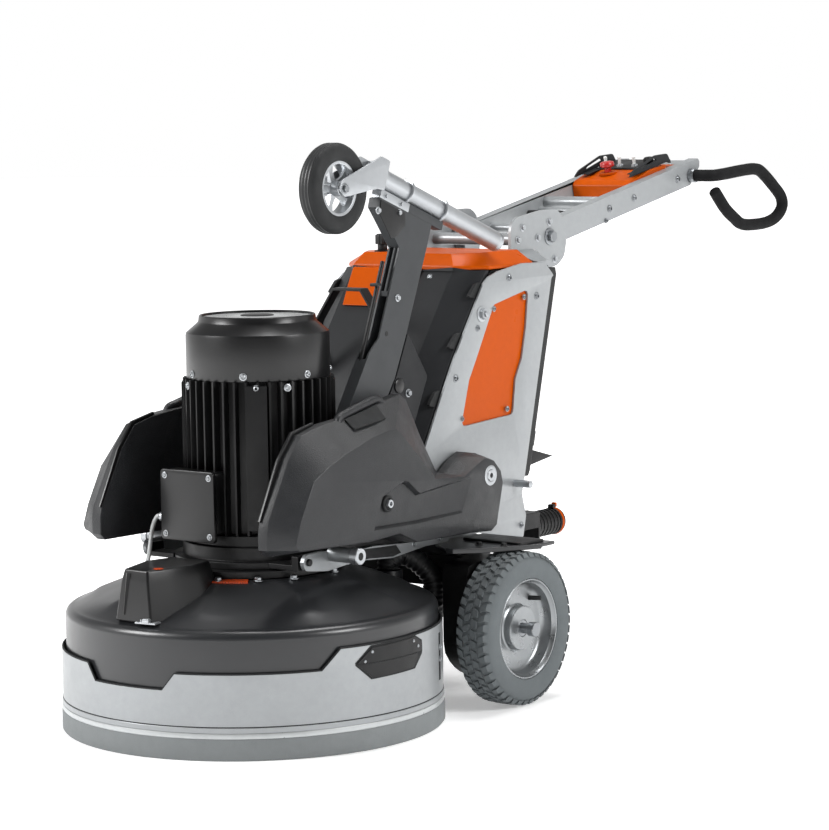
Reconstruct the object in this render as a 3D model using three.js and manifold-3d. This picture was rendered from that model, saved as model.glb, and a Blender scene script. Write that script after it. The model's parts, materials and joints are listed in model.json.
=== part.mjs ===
import * as THREE from "three";
import { mergeVertices } from "three/addons/utils/BufferGeometryUtils.js";
import Module from "manifold-3d";

const wasm = await Module();
wasm.setup();

// Lengths in millimetres. +X is the machine's left, +Y its rear, +Z up, floor at Z = 0.
// The grinding head's axis stands on X = 0, Y = 0 until the whole machine is centred at the end.
const CENTRE_Y = 825.5;
const SKIRT_R = 437;
const MOTOR_Y = 38.5;
const PLATE_OUT = 222;
const PLATE_IN = 216;
const WHEEL = { y: 472, r: 180, inner: 351, outer: 445, rim: 117.5 };
const WING = { y: 504, z: 528, pin: 14, inner: 230, outer: 314 };
const STOP = { y: 733, z: 478, r: 9 };
const TILT = { y: -87, z: 394 };
const ARM = { y: 60, z: 545, inner: 178, outer: 210 };
const TUBE = { x: 194, y: 250, z: 1230, angle: -19.92, length: 487, r: 24, bore: 20 };
const JOCKEY = { along: -154, drop: -75, r: 102 };
const HANDLE = { y: 1018, z: 1063, slope: 11.24, inner: 95, outer: 125 };
const DOOR_LEAN = 0.261;
const GAP = 0.4;

const COLOUR = {
  silver: 0xb0b3b4, orange: 0xd6601e, charcoal: 0x3c3d3f, black: 0x18181a, zinc: 0xc6c9cc,
  rubber: 0x232425, tyre: 0x6e7375, red: 0xc22018, steel: 0x8d9093, white: 0xd8dadb,
};

function solid(geometry) {
  const bare = new THREE.BufferGeometry();
  bare.setAttribute("position", geometry.getAttribute("position"));
  if (geometry.index) bare.setIndex(geometry.index);
  const merged = mergeVertices(bare, 1e-3);
  const p = merged.getAttribute("position");
  const all = merged.index.array;
  const kept = [];
  let volume = 0;
  const [a, b, c] = [new THREE.Vector3(), new THREE.Vector3(), new THREE.Vector3()];
  for (let i = 0; i < all.length; i += 3) {
    const [u, v, w] = [all[i], all[i + 1], all[i + 2]];
    if (u === v || v === w || u === w) continue;
    kept.push(u, v, w);
    volume += a.fromBufferAttribute(p, u).dot(b.fromBufferAttribute(p, v).cross(c.fromBufferAttribute(p, w)));
  }
  if (volume < 0) for (let i = 0; i < kept.length; i += 3) [kept[i], kept[i + 1]] = [kept[i + 1], kept[i]];
  return new wasm.Manifold(new wasm.Mesh({
    numProp: 3, vertProperties: Float32Array.from(p.array), triVerts: Uint32Array.from(kept),
  }));
}

const join = (...bodies) => bodies.reduce((sum, body) => sum.add(body));
const cut = (body, ...tools) => tools.reduce((left, tool) => left.subtract(tool), body);

function wound(points, anticlockwise) {
  const ring = points.map(([a, b]) => new THREE.Vector2(a, b));
  return THREE.ShapeUtils.area(ring) > 0 === anticlockwise ? ring : ring.reverse();
}

function outline(points, holes = []) {
  const shape = new THREE.Shape(wound(points, true));
  for (const hole of holes) shape.holes.push(new THREE.Path(wound(hole, false)));
  return shape;
}

// Flat outline given in the two axes other than the one it is extruded along: YZ, XZ or XY.
function place(axis, from, to) {
  const X = new THREE.Vector3(1, 0, 0), Y = new THREE.Vector3(0, 1, 0), Z = new THREE.Vector3(0, 0, 1);
  const m = new THREE.Matrix4();
  if (axis === "x") return m.makeBasis(Y, Z, X).setPosition(from, 0, 0);
  if (axis === "y") return m.makeBasis(X, Z, Y.negate()).setPosition(0, to, 0);
  return m.setPosition(0, 0, from);
}

function prism(axis, points, from, to, holes) {
  const shape = outline(points, holes);
  const geometry = new THREE.ExtrudeGeometry(shape, { depth: to - from, bevelEnabled: false });
  return solid(geometry.applyMatrix4(place(axis, from, to)));
}

const box = (x0, x1, y0, y1, z0, z1) => prism("z", [[x0, y0], [x1, y0], [x1, y1], [x0, y1]], z0, z1);

function circle(a, b, r, n = 20) {
  return Array.from({ length: n }, (_, i) => {
    const t = (2 * Math.PI * i) / n;
    return [a + r * Math.cos(t), b + r * Math.sin(t)];
  });
}

function rounded(points, radius, steps = 2) {
  const out = [];
  points.forEach((p, i) => {
    const before = points[(i + points.length - 1) % points.length], after = points[(i + 1) % points.length];
    const ends = [before, after].map((q) => {
      const length = Math.hypot(q[0] - p[0], q[1] - p[1]);
      const t = Math.min(radius, 0.45 * length) / length;
      return [p[0] + (q[0] - p[0]) * t, p[1] + (q[1] - p[1]) * t];
    });
    for (let k = 0; k <= steps; k++) {
      const t = k / steps, u = 1 - t;
      out.push([0, 1].map((j) => u * u * ends[0][j] + 2 * u * t * p[j] + t * t * ends[1][j]));
    }
  });
  return out;
}

// Profile of [radius, distance along the axis] pairs, closed by the function.
function turned(axis, profile, at = [0, 0, 0], segments = 28) {
  const points = [...profile, profile[0]].map(([r, h]) => new THREE.Vector2(r, h));
  const geometry = new THREE.LatheGeometry(points, segments);
  if (axis === "x") geometry.rotateZ(-Math.PI / 2);
  if (axis === "z") geometry.rotateX(Math.PI / 2);
  return solid(geometry.translate(...at));
}

const rod = (axis, r, from, to, at = [0, 0, 0], segments = 20) =>
  turned(axis, [[0, from], [r, from], [r, to], [0, to]], at, segments);

// Skin over outlines of equal count, one per level along the axis.
function loft(axis, levels, outlines) {
  const turn = THREE.ShapeUtils.area(outlines[0].map(([a, b]) => new THREE.Vector2(a, b))) < 0;
  const rings = outlines.map((points) => (turn ? [...points].reverse() : points));
  const n = rings[0].length;
  const position = [], index = [];
  const put = {
    x: (a, b, h) => [h, a, b], y: (a, b, h) => [a, h, b], z: (a, b, h) => [a, b, h],
  }[axis];
  rings.forEach((ring, k) => ring.forEach(([a, b]) => position.push(...put(a, b, levels[k]))));
  for (let k = 0; k + 1 < rings.length; k++) {
    for (let i = 0; i < n; i++) {
      const j = (i + 1) % n, p = k * n, q = p + n;
      index.push(p + i, p + j, q + j, p + i, q + j, q + i);
    }
  }
  const cap = (k) => THREE.ShapeUtils.triangulateShape(rings[k].map(([a, b]) => new THREE.Vector2(a, b)), []);
  for (const [a, b, c] of cap(0)) index.push(a, c, b);
  const top = (rings.length - 1) * n;
  for (const [a, b, c] of cap(rings.length - 1)) index.push(top + a, top + b, top + c);
  const geometry = new THREE.BufferGeometry();
  geometry.setAttribute("position", new THREE.Float32BufferAttribute(position, 3));
  geometry.setIndex(index);
  return solid(geometry);
}

function swept(points, radius, steps = 24, sides = 10) {
  const path = new THREE.CatmullRomCurve3(points.map((p) => new THREE.Vector3(...p)), false, "centripetal");
  const shape = outline(circle(0, 0, radius, sides));
  return solid(new THREE.ExtrudeGeometry(shape, { steps, bevelEnabled: false, extrudePath: path }));
}

// Band round the head's axis whose lower and upper edges are heights given by angle in degrees.
function band(inner, outer, low, high, steps = 72) {
  const position = [], index = [];
  for (let i = 0; i < steps; i++) {
    const deg = (360 * i) / steps, t = (deg * Math.PI) / 180;
    for (const [r, z] of [[outer, low(deg)], [outer, high(deg)], [inner, high(deg)], [inner, low(deg)]]) {
      position.push(r * Math.cos(t), r * Math.sin(t), z);
    }
  }
  for (let i = 0; i < steps; i++) {
    for (let k = 0; k < 4; k++) {
      const a = 4 * i + k, b = 4 * i + ((k + 1) % 4);
      const c = 4 * ((i + 1) % steps) + ((k + 1) % 4), d = 4 * ((i + 1) % steps) + k;
      index.push(a, d, c, a, c, b);
    }
  }
  const geometry = new THREE.BufferGeometry();
  geometry.setAttribute("position", new THREE.Float32BufferAttribute(position, 3));
  geometry.setIndex(index);
  return solid(geometry);
}

function toGeometry(body) {
  const mesh = body.getMesh();
  const geometry = new THREE.BufferGeometry();
  geometry.setAttribute("position", new THREE.Float32BufferAttribute(mesh.vertProperties, 3));
  geometry.setIndex(new THREE.Uint32BufferAttribute(mesh.triVerts, 1));
  const flat = geometry.toNonIndexed();
  flat.computeVertexNormals();
  return flat;
}

function moved(body, matrix) {
  return solid(toGeometry(body).applyMatrix4(matrix));
}

const mirrored = (body) => moved(body, new THREE.Matrix4().makeScale(-1, 1, 1));

function framed(angle, x, y, z) {
  const matrix = new THREE.Matrix4().makeRotationX(THREE.MathUtils.degToRad(angle)).setPosition(x, y, z);
  return (body) => moved(body, matrix);
}

const onHandle = framed(HANDLE.slope, 0, HANDLE.y, HANDLE.z);
const onTube = framed(TUBE.angle, TUBE.x, TUBE.y, TUBE.z);

const machine = new THREE.Group();
machine.name = "concrete_grinder";

function add(name, body, colour, roughness = 0.5, metalness = 0) {
  const material = new THREE.MeshStandardMaterial({ color: colour, roughness, metalness });
  const mesh = new THREE.Mesh(toGeometry(body), material);
  mesh.name = name;
  mesh.geometry.translate(0, -CENTRE_Y, 0);
  machine.add(mesh);
}

function addPair(name, body, ...finish) {
  add(`${name}_left`, body, ...finish);
  add(`${name}_right`, mirrored(body), ...finish);
}

// Front edge of the side plates and of the cover between them, as Y at a height.
const FRONT_EDGE = [[395, 345], [577, 358], [752, 461], [801, 492], [971, 614], [1000, 640]];
function frontEdge(z) {
  const k = Math.max(1, FRONT_EDGE.findIndex(([h], i) => h >= z || i === FRONT_EDGE.length - 1));
  const [z0, y0] = FRONT_EDGE[k - 1], [z1, y1] = FRONT_EDGE[k];
  return y0 + ((y1 - y0) * (z - z0)) / (z1 - z0);
}

// Side plates: flat steel with a window, the wing's pivot pin and its rear stop welded on.
const plateEdge = [
  [345, 395], [358, 577], [461, 752], [492, 801], [614, 971], [635, 985], [673, 996], [776, 1010], [872, 1008],
  [911, 974], [901, 968], [774, 481], [764, 449], [780, 393], [767, 341], [622, 366], [585, 374.6],
  [345, 374.6],
];
const windowEdge = rounded([
  [655, 917], [800, 946], [789, 857], [770, 780], [742, 732], [729, 647], [515, 636], [550, 745], [581, 794],
], 14);
const sidePlate = join(
  prism("x", plateEdge, PLATE_IN, PLATE_OUT, [windowEdge]),
  rod("x", WING.pin, PLATE_IN, WING.outer + 2, [0, WING.y, WING.z]),
  rod("x", STOP.r, PLATE_IN, 270, [0, STOP.y, STOP.z], 20),
);
addPair("side_plate", sidePlate, COLOUR.silver, 0.45, 0.2);

const windowPanel = [
  [645, 927], [812, 960], [800, 850], [780, 774], [752, 728], [740, 637], [505, 626], [541, 750], [572, 800],
];
addPair("window_panel", prism("x", windowPanel, PLATE_IN - 3.4, PLATE_IN - GAP), COLOUR.orange, 0.35);

// Front cover: sheet with chamfered front corners between the side plates, open behind.
const COVER_LEVELS = [400, 577, 752, 801, 971, 1000];
const coverRing = (z, wall) => {
  const y = frontEdge(z);
  return [
    [-212 + wall, y + 12], [-212 + wall, y], [-150 + wall / 2, y - 50 + wall], [150 - wall / 2, y - 50 + wall],
    [212 - wall, y], [212 - wall, y + 12],
  ];
};
const coverHollow = (z) => coverRing(z, 4).map(([x, y]) => [x, y > frontEdge(z) + 1 ? y + 4 : y]);
const frontCover = cut(
  loft("z", COVER_LEVELS, COVER_LEVELS.map((z) => coverRing(z, 0))),
  loft("z", [390, 577, 752, 801, 971, 996], [395.5, 577, 752, 801, 971, 996].map(coverHollow)),
);
add("front_cover", frontCover, COLOUR.charcoal, 0.55);

// Cabinet: floor, back frame and top shelf holding the drive electronics, closed by the door.
const doorY = (z) => 774 + DOOR_LEAN * (z - 481);
const tubOuter = [[372, 396], [doorY(482) - 1, 396], [doorY(482) - 1, 482], [doorY(998) - 1, 998], [664, 998]];
const tubInner = [[380, 402], [doorY(482) - 8, 402], [doorY(482) - 8, 490], [doorY(990) + 20, 990], [672, 990]];
const cabinet = cut(
  prism("x", [...tubOuter, [614, 971 - 30], [374, 577]], -208, 208),
  prism("x", [...tubInner, [622, 936], [382, 574]], -204, 204),
  loft("z", [490, 985], [490, 985].map((z) => [[-195, doorY(z) - 60], [195, doorY(z) - 60], [195, doorY(z) + 30],
    [-195, doorY(z) + 30]])),
);
add("cabinet", cabinet, COLOUR.black, 0.6);

add("inverter", join(
  box(-150, 150, 560, 700, 420, 720),
  ...[-100, -50, 0, 50, 100].map((x) => box(x - 3, x + 3, 560, 715, 430, 710)),
), COLOUR.steel, 0.5, 0.3);

// Hood with its front tab.
const hoodRing = (side, corner, front, back) => [
  [-side, back], [-side, front + 62], [-corner, front], [corner, front], [side, front + 62], [side, back],
];
const hood = join(
  loft("z", [1001, 1012, 1040], [
    hoodRing(214, 150, 588, 834), hoodRing(210, 148, 590, 834), hoodRing(168, 132, 606, 834),
  ]),
  loft("z", [915, 971, 1004], [915, 971, 1004].map((z, k) => {
    const y = frontEdge(z) - 50.5, left = [-132, -142, -148][k];
    return [[left, y - 7], [60, y - 7], [60, y], [left, y]];
  })),
);
const fillerBoss = rod("z", 20, 1034, 1043, [-100, 640, 0], 24);
add("hood", cut(join(hood, fillerBoss), box(-164, 164, 640, 835, 1000, 1030)), COLOUR.orange, 0.3);

add("filler_cap", join(
  rod("z", 12, 1043 + GAP, 1058, [-100, 640, 0], 20), rod("z", 18, 1058, 1083, [-100, 640, 0], 20),
), COLOUR.black, 0.6);

// Hinge plates that carry the handle, joined by a cross tube.
const hingeEdge = rounded([
  [848, 1022], [850, 1090], [868, 1114], [985, 1130], [1052, 1130], [1078, 1112], [1095, 1056], [1085, 1012],
  [1053, 989], [1004, 984], [990, 994], [970, 1029], [945, 1035],
], 12);
const hingePlate = join(
  prism("x", hingeEdge, 129, 137, [circle(HANDLE.y, HANDLE.z, 12.3)]),
  loft("x", [133, 205.6], [[[850, 1026], [944, 1030], [944, 1037], [850, 1037]],
    [[850, 1004], [908, 1004], [908, 1011], [850, 1011]]]),
  box(201, 215.6, 850, 905, 1000, 1011),
);
const handleMount = join(hingePlate, mirrored(hingePlate), rod("x", 15, -133, 133, [0, 900, 1060], 24));
add("handle_mount", handleMount, COLOUR.silver, 0.45, 0.2);

// Axle housing: cross beam, a drive case inside each wheel and the stub axles.
const driveCase = join(
  prism("x", rounded([[366, 338], [366, 120], [430, 62], [520, 62], [560, 110], [560, 338]], 30), 270, 342),
  rod("x", 20, 340, 418, [0, WHEEL.y, WHEEL.r], 28),
);
add("axle_housing", join(driveCase, mirrored(driveCase), box(-272, 272, 452, 556, 262, 338)), COLOUR.black, 0.6);

const deck = [
  [-446, 520], [-446, 574], [446, 574], [446, 520], [370, 392], [316, 346], [296, 346], [225, 400],
  [-225, 400], [-296, 346], [-316, 346], [-370, 392],
];
const lip = prism("z", [
  [296, 346], [316, 346], [370, 392], [446, 520], [440, 523], [366, 398], [313, 352], [296, 352],
], 362, 370);
add("fender_deck", join(
  prism("z", deck, 366, 374), lip, mirrored(lip), box(-250, 250, 452, 556, 338 + GAP, 368),
), COLOUR.black, 0.5);

// Chassis arms reaching forward to the head, with the peg that each wing rests on.
const armEdge = rounded([
  [-106, 396], [-94, 412], [-30, 412], [60, 398], [150, 400], [262, 392], [440, 388], [440, 374.6], [345, 374.6],
  [220, 364], [120, 372], [60, 372], [-20, 366], [-98, 376],
], 8);
addPair("chassis_arm", join(
  prism("x", armEdge, 228, 238, [circle(TILT.y, TILT.z, 8.3)]),
  rod("x", 17, 236, 320, [0, -4, 403], 28),
  box(223, 232, 345, 440, 374.6, 387),
), COLOUR.zinc, 0.4, 0.6);

// Post that carries the jockey arm, and the bracket it leans on when raised.
add("jockey_post", join(
  prism("x", rounded([[28, 545], [40, 575], [80, 575], [95, 545], [200, 425], [344, 425], [344, 384], [20, 384]], 12),
    213.5, 220),
  rod("x", 12, ARM.inner - 2, 215, [0, ARM.y, ARM.z]),
  box(213.5, 227.6, 60, 330, 384, 391),
), COLOUR.black, 0.5);
add("stow_bracket", prism("x", rounded([
  [334, 872], [290, 778], [236, 696], [290, 600], [292, 428], [318, 428], [330, 577], [345, 640], [408, 765],
], 6), 188, 205), COLOUR.charcoal, 0.5);

// Bent bar hoop behind the motor.
const hoopPath = [[-128, 802], [-96, 892], [-42, 968], [42, 968], [96, 892], [128, 802]];
const hoopInner = [[121, 802], [90, 889], [39, 961], [-39, 961], [-90, 889], [-121, 802]];
const hoopFoot = box(121, 128, 366, frontEdge(796) - 50.5, 796, 812);
add("hoop", join(
  prism("y", [...hoopPath, ...hoopInner], 366, 396),
  hoopFoot, mirrored(hoopFoot),
), COLOUR.black, 0.5);

// Power inlet under the door with its hinged cap.
add("power_inlet", join(
  box(110, 206, 792, 862, 352, 392), box(110, 206, 856, 862, 300, 392),
  turned("y", [[0, 861], [40, 861], [40, 880], [32, 884], [32, 978], [26, 978], [26, 900], [0, 900]], [158, 0, 350], 20),
), COLOUR.black, 0.5);
add("inlet_cap", join(
  rod("y", 35, 979, 1000, [158, 0, 350], 32), box(150, 166, 979, 990, 378, 396),
), COLOUR.orange, 0.45);

// Corrugated hose from the head's dust port back under the deck.
add("dust_hose", swept([
  [140, 330, 317], [141, 332, 332], [155, 362, 348], [180, 396, 325], [201, 418, 290], [203, 423, 255],
  [196, 432, 222], [170, 480, 205], [105, 600, 200], [70, 700, 205], [60, 770, 240], [60, 786, 300],
], 27, 26, 10), COLOUR.black, 0.8);

// Rear door, its latch and the cable hook.
const lean = (points) => points.map(([d, z]) => [doorY(z) + d, z]);
const door = join(
  prism("x", lean([[2, 486], [40, 486], [44, 500], [44, 975], [34, 992], [2, 992]]), -206, 206),
  prism("x", [[doorY(517) + 38, 505], [906, 519], [doorY(548) + 42, 548]], 150, 178),
);
add("rear_door", cut(door, prism("x", lean([[-5, 492], [38, 492], [38, 984], [-5, 984]]), -200, 200)), COLOUR.charcoal, 0.55);
const latch = prism("x", lean([[44 + GAP, 556], [56, 556], [56, 592], [44 + GAP, 592]]), 182, 200);
add("door_latch", latch, COLOUR.black, 0.5);

// Grinding head: cover, planetary gearbox and the vertical motor.
const headCover = join(
  turned("z", [
    [424, 130], [424, 254], [412, 275], [330, 310], [226, 352], [200, 356], [200, 350], [225, 346], [406, 269],
    [418, 130],
  ], [0, 0, 0], 40),
  cut(
    loft("z", [290, 400], [
      [[-52, -402], [52, -402], [94, -270], [76, -190], [-76, -190], [-94, -270]],
      [[-34, -391], [34, -391], [72, -280], [56, -200], [-56, -200], [-72, -280]],
    ]),
    turned("z", [[0, 0], [400, 0], [400, 272], [225, 347], [0, 351]], [0, 0, 0], 40),
    rod("z", 204, 300, 430, [0, 0, 0], 40),
  ),
);
const dustPort = turned("z", [[28, 280], [34, 280], [34, 314], [28, 314]], [140, 330, 0], 20);
add("head_cover", join(headCover, dustPort), COLOUR.charcoal, 0.4);

add("gearbox", turned("z", [
  [0, 112], [60, 112], [60, 140], [396, 140], [396, 152], [192, 170], [192, 348], [196, 357], [196, 371.6], [0, 371.6],
], [0, 0, 0], 36), COLOUR.steel, 0.6, 0.3);

const lug = join(
  box(140, 224, -108, -66, 376, 388), box(206, 224, -108, -66, 376, 408),
  rod("x", 8, 222, 244, [0, TILT.y, TILT.z]),
);
add("motor_flange", join(turned("z", [
  [40, 372], [200, 372], [200, 388], [180, 388], [180, 418], [172, 420], [172, 443], [110, 443], [110, 388], [40, 388],
], [0, MOTOR_Y, 0], 28), lug, mirrored(lug)), COLOUR.black, 0.6);

const FINS = 36;
const finned = Array.from({ length: FINS * 4 }, (_, i) => {
  const t = (2 * Math.PI * (Math.floor(i / 4) + [0, 0.14, 0.3, 0.84][i % 4] + 0.28)) / FINS;
  const r = [172, 172, 152, 152][i % 4];
  return [r * Math.cos(t), MOTOR_Y + r * Math.sin(t)];
});
add("motor_stator", cut(
  prism("z", finned, 443 + GAP, 788, [circle(0, MOTOR_Y, 100, 28)]),
  box(-128, 46, -140, -118, 420, 600),
), COLOUR.black, 0.6);

const rotorBody = turned("z", [
  [0, 392], [30, 392], [30, 470], [92, 472], [92, 740], [30, 742], [30, 800], [110, 802], [110, 812], [22, 814],
  [22, 850], [0, 850],
], [0, MOTOR_Y, 0], 24);
add("motor_rotor", join(rotorBody, ...[0, 1, 2, 3, 4, 5].map((k) => moved(
  box(20, 112, -3, 3, 808, 848), new THREE.Matrix4().makeRotationZ((k * Math.PI) / 3).setPosition(0, MOTOR_Y, 0),
))), COLOUR.steel, 0.5, 0.4);

add("fan_cowl", turned("z", [
  [159, 788 + GAP], [159, 888], [128, 912], [128, 922], [40, 924], [40, 929], [131.5, 929], [134, 914], [163, 890],
  [163, 788 + GAP],
], [0, MOTOR_Y, 0], 32), COLOUR.black, 0.4);

const terminalBox = join(
  cut(
    prism("y", rounded([[-124, 428], [38, 428], [38, 592], [-124, 592]], 8), -168, -119),
    rod("z", 182, 400, 444, [0, MOTOR_Y, 0], 32),
  ),
  rod("x", 12, -140, -123, [0, -148, 478], 16),
);
add("terminal_box", terminalBox, COLOUR.black, 0.45);

add("motor_cable", swept([
  [-143, -148, 478], [-153, -149, 476], [-160, -158, 440], [-152, -176, 400], [-132, -206, 378], [-112, -232, 371],
], 5, 16, 6), COLOUR.white, 0.5);

// Planet plate and its three grinding discs, each with tool segments.
add("planet_plate", turned("z", [
  [0, 70], [405, 70], [405, 84], [70, 90], [62, 111], [0, 111],
], [0, 0, 0], 36), COLOUR.steel, 0.5, 0.4);
const DISC_R = 262;
[90, 210, 330].forEach((deg, k) => {
  const t = (deg * Math.PI) / 180;
  const [x, y] = [DISC_R * Math.cos(t), DISC_R * Math.sin(t)];
  const tools = Array.from({ length: 6 }, (_, i) => moved(
    box(82, 124, -14, 14, 0, 22), new THREE.Matrix4().makeRotationZ((i * Math.PI) / 3).setPosition(x, y, 0),
  ));
  const disc = turned("z", [[0, 20], [132, 20], [132, 34], [60, 44], [60, 69], [0, 69]], [x, y, 0], 24);
  add(`grinding_disc_${k + 1}`, join(disc, ...tools), COLOUR.steel, 0.5, 0.4);
});

// Floating skirt: stepped shroud over a brush ring.
function stepped(deg) {
  const off = Math.abs(((deg + 450) % 360) - 180 < 0 ? ((deg + 90 + 360) % 360) : 360 - ((deg + 90 + 360) % 360));
  if (off < 13) return 150;
  if (off < 17) return 150 + (37 * (off - 13)) / 4;
  if (off < 60) return 187;
  if (off < 66) return 187 + (44 * (off - 60)) / 6;
  return 231;
}
add("skirt_shroud", band(429, 434, () => 47 + GAP, stepped), COLOUR.silver, 0.45, 0.2);
add("skirt_ring", turned("z", [
  [425, 0], [SKIRT_R, 0], [SKIRT_R, 47], [425, 47],
], [0, 0, 0], 60), COLOUR.steel, 0.7);

// Drive wheels with pull-out release knobs.
const { y: wy, r: wr, inner: wi, outer: wo } = WHEEL;
addPair("tyre", turned("x", [
  [118, wi + 4], [150, wi], [170, wi + 6], [wr, wi + 22], [wr, wo - 22], [170, wo - 6], [150, wo], [118, wo - 4],
], [0, wy, wr], 40), COLOUR.tyre, 0.9);
addPair("wheel_rim", turned("x", [
  [20.4, wi + 2], [34, wi + 2], [34, 392], [108, 392], [108, wi + 8], [WHEEL.rim, wi + 8], [WHEEL.rim, wo - 6],
  [108, wo - 6], [104, 402], [52, 404], [52, 421], [34, 421], [34, 428], [20.4, 428],
], [0, wy, wr], 28), COLOUR.zinc, 0.35, 0.7);
addPair("release_knob", join(
  rod("x", 19.9, 419, 442, [0, wy, wr], 28), rod("x", 15, 440, 461, [0, wy, wr], 20),
), COLOUR.zinc, 0.35, 0.7);

// Swinging weight wings.
const wingInner = [
  [-235, 428], [-250, 442], [-250, 480], [-244, 505], [-172, 632], [-129, 680], [-60, 696], [55, 707], [140, 726],
  [229, 740], [252, 728], [306, 636], [366, 547], [400, 540], [440, 566], [480, 582], [525, 575], [556, 545],
  [562, 510], [535, 408], [505, 396], [425, 399], [214, 404], [150, 431], [43, 425],
];
const wingOuter = [
  [-213, 438], [-228, 443], [-239, 455], [-222, 500], [-170, 587], [-110, 628], [-53, 652], [58, 677], [110, 681],
  [144, 674], [175, 650], [221, 609], [290, 545], [400, 538], [450, 560], [485, 572], [520, 562], [548, 535],
  [556, 505], [529, 408], [508, 396], [425, 401], [214, 406], [150, 433], [43, 428],
];
addPair("wing", cut(
  loft("x", [WING.inner, WING.outer], [wingInner, wingOuter]),
  rod("x", WING.pin + 0.3, 200, 330, [0, WING.y, WING.z]),
), COLOUR.charcoal, 0.6, 0.2);

// Jockey arm: channel open to the front with the latch rod, and the clamp for the tube.
const armSide = [
  [8, 585], [12, 545], [38, 512], [85, 508], [118, 530], [165, 620], [275, 772], [318, 862], [403, 1060],
  [425, 1117], [232, 1187], [225, 1165], [300, 1070], [218, 868], [180, 835], [97, 709],
];
const armChannel = [[150, 840], [190, 810], [250, 858], [338, 1050], [300, 1072], [240, 1060]];
add("jockey_arm", join(
  cut(
    prism("x", armSide, ARM.inner, ARM.outer, [circle(ARM.y, ARM.z, 12.3)]),
    prism("x", armChannel, ARM.inner + 5, ARM.outer - 5),
  ),
  moved(rod("y", 6, 0, 120, [0, 0, 0], 16),
    new THREE.Matrix4().makeRotationX(1.187).setPosition(TUBE.x, 268, 968)),
  box(ARM.inner + 2, ARM.outer - 2, 262, 320, 960, 972),
), COLOUR.charcoal, 0.5);

const clampRing = (from) => turned("y", [
  [TUBE.r + 0.3, from], [30, from], [30, from + 22], [TUBE.r + 0.3, from + 22],
], [0, 0, 0], 24);
add("jockey_clamp", onTube(join(
  clampRing(88), clampRing(227),
  cut(box(-13, 13, 0, 249, -46, -20), rod("y", TUBE.r + 0.3, -5, 260, [0, 0, 0], 24)),
)), COLOUR.zinc, 0.4, 0.6);

add("jockey_tube", onTube(turned("y", [
  [TUBE.bore, 0], [TUBE.r, 0], [TUBE.r, TUBE.length], [0, TUBE.length], [0, TUBE.length - 6],
  [TUBE.bore, TUBE.length - 6],
], [0, 0, 0], 24)), COLOUR.zinc, 0.3, 0.8);

const forkEdge = rounded([
  [-172, -84], [-166, -58], [-46, 37], [-12, 37], [-12, -33], [-40, -38], [-146, -92],
], 9);
const forkSide = prism("x", forkEdge, 28, 32);
add("jockey_fork", onTube(join(
  forkSide, mirrored(forkSide), box(-32, 32, -18, -12, -33, 37),
  turned("y", [[0, -14], [30, -14], [30, -1], [TUBE.bore - 0.4, -1], [TUBE.bore - 0.4, 60], [0, 60]], [0, 0, 0], 24),
  rod("x", 8, -34, 34, [0, JOCKEY.along, JOCKEY.drop]),
)), COLOUR.zinc, 0.4, 0.6);

const atJockey = [0, JOCKEY.along, JOCKEY.drop];
add("jockey_tyre", onTube(turned("x", [
  [62, -20], [76, -25], [92, -24], [JOCKEY.r, -12], [JOCKEY.r, 12], [92, 24], [76, 25], [62, 20],
], atJockey, 32)), COLOUR.rubber, 0.9);
add("jockey_rim", onTube(cut(
  turned("x", [
    [8.4, -27], [17, -27], [17, -4], [54, -4], [56, -19], [61.6, -19], [61.6, 19], [56, 19], [54, 4], [17, 4],
    [17, 27], [8.4, 27],
  ], atJockey, 20),
  ...circle(JOCKEY.along, JOCKEY.drop, 36, 5).map(([y, z]) => rod("x", 12, -10, 10, [0, y, z], 8)),
)), COLOUR.zinc, 0.4, 0.7);

// Handle: two beams, cross tubes and the pivot pins, welded together.
const beamEdge = [[-45, -30], [701, -30], [756, 8], [760, 22], [754, 32], [-45, 32]];
const beam = join(
  prism("x", beamEdge, HANDLE.inner, HANDLE.outer),
  rod("x", 12, HANDLE.outer - 2, 144),
);
add("handle_frame", onHandle(join(
  beam, mirrored(beam),
  rod("x", 12, -97, 97, [0, 334, 8]), rod("x", 12, -97, 97, [0, 80, 0]),
  box(-97, 97, 690, 740, 24, 30),
)), COLOUR.silver, 0.45, 0.2);

const controls = onHandle(join(
  prism("x", rounded([[464, -12], [640, -12], [640, 40], [560, 44], [478, 34], [462, 24]], 4), -94, 94),
  box(-94, 94, 640, 689, 22, 30),
));
add("control_box", controls, COLOUR.orange, 0.35);

const guardEdge = rounded([[466, 44], [490, 58], [600, 74], [660, 66], [676, 36], [640, 48]], 6);
const guardSlot = rounded([[520, 52], [530, 59], [596, 68], [606, 60]], 3);
const guard = prism("x", guardEdge, 84, 89, [guardSlot]);
add("control_guard", onHandle(join(
  guard, mirrored(guard), cut(box(-89, 89, 500, 672, 44 + GAP, 47), box(-60, 60, 490, 560, 40, 50)),
)), COLOUR.charcoal, 0.5);

const knobAt = (x, y, base, profile) => onHandle(turned("z", profile, [x, y, base], 14));
add("emergency_stop", knobAt(-20, 530, 45, [[0, 0], [9, 0], [9, 14], [19, 16], [19, 25], [15, 28], [0, 28]]), COLOUR.red, 0.35);
[-62, -18, 28].forEach((x, k) => add(
  `toggle_${k + 1}`, knobAt(x, 588, 47.5, [[0, 0], [10, 0], [10, 5], [4, 7], [4, 22], [5, 26], [0, 27]]), COLOUR.white, 0.4,
));
add("speed_knob", knobAt(52, 622, 47.5, [[0, 0], [14, 0], [14, 14], [12, 17], [0, 17]]), COLOUR.black, 0.5);

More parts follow.
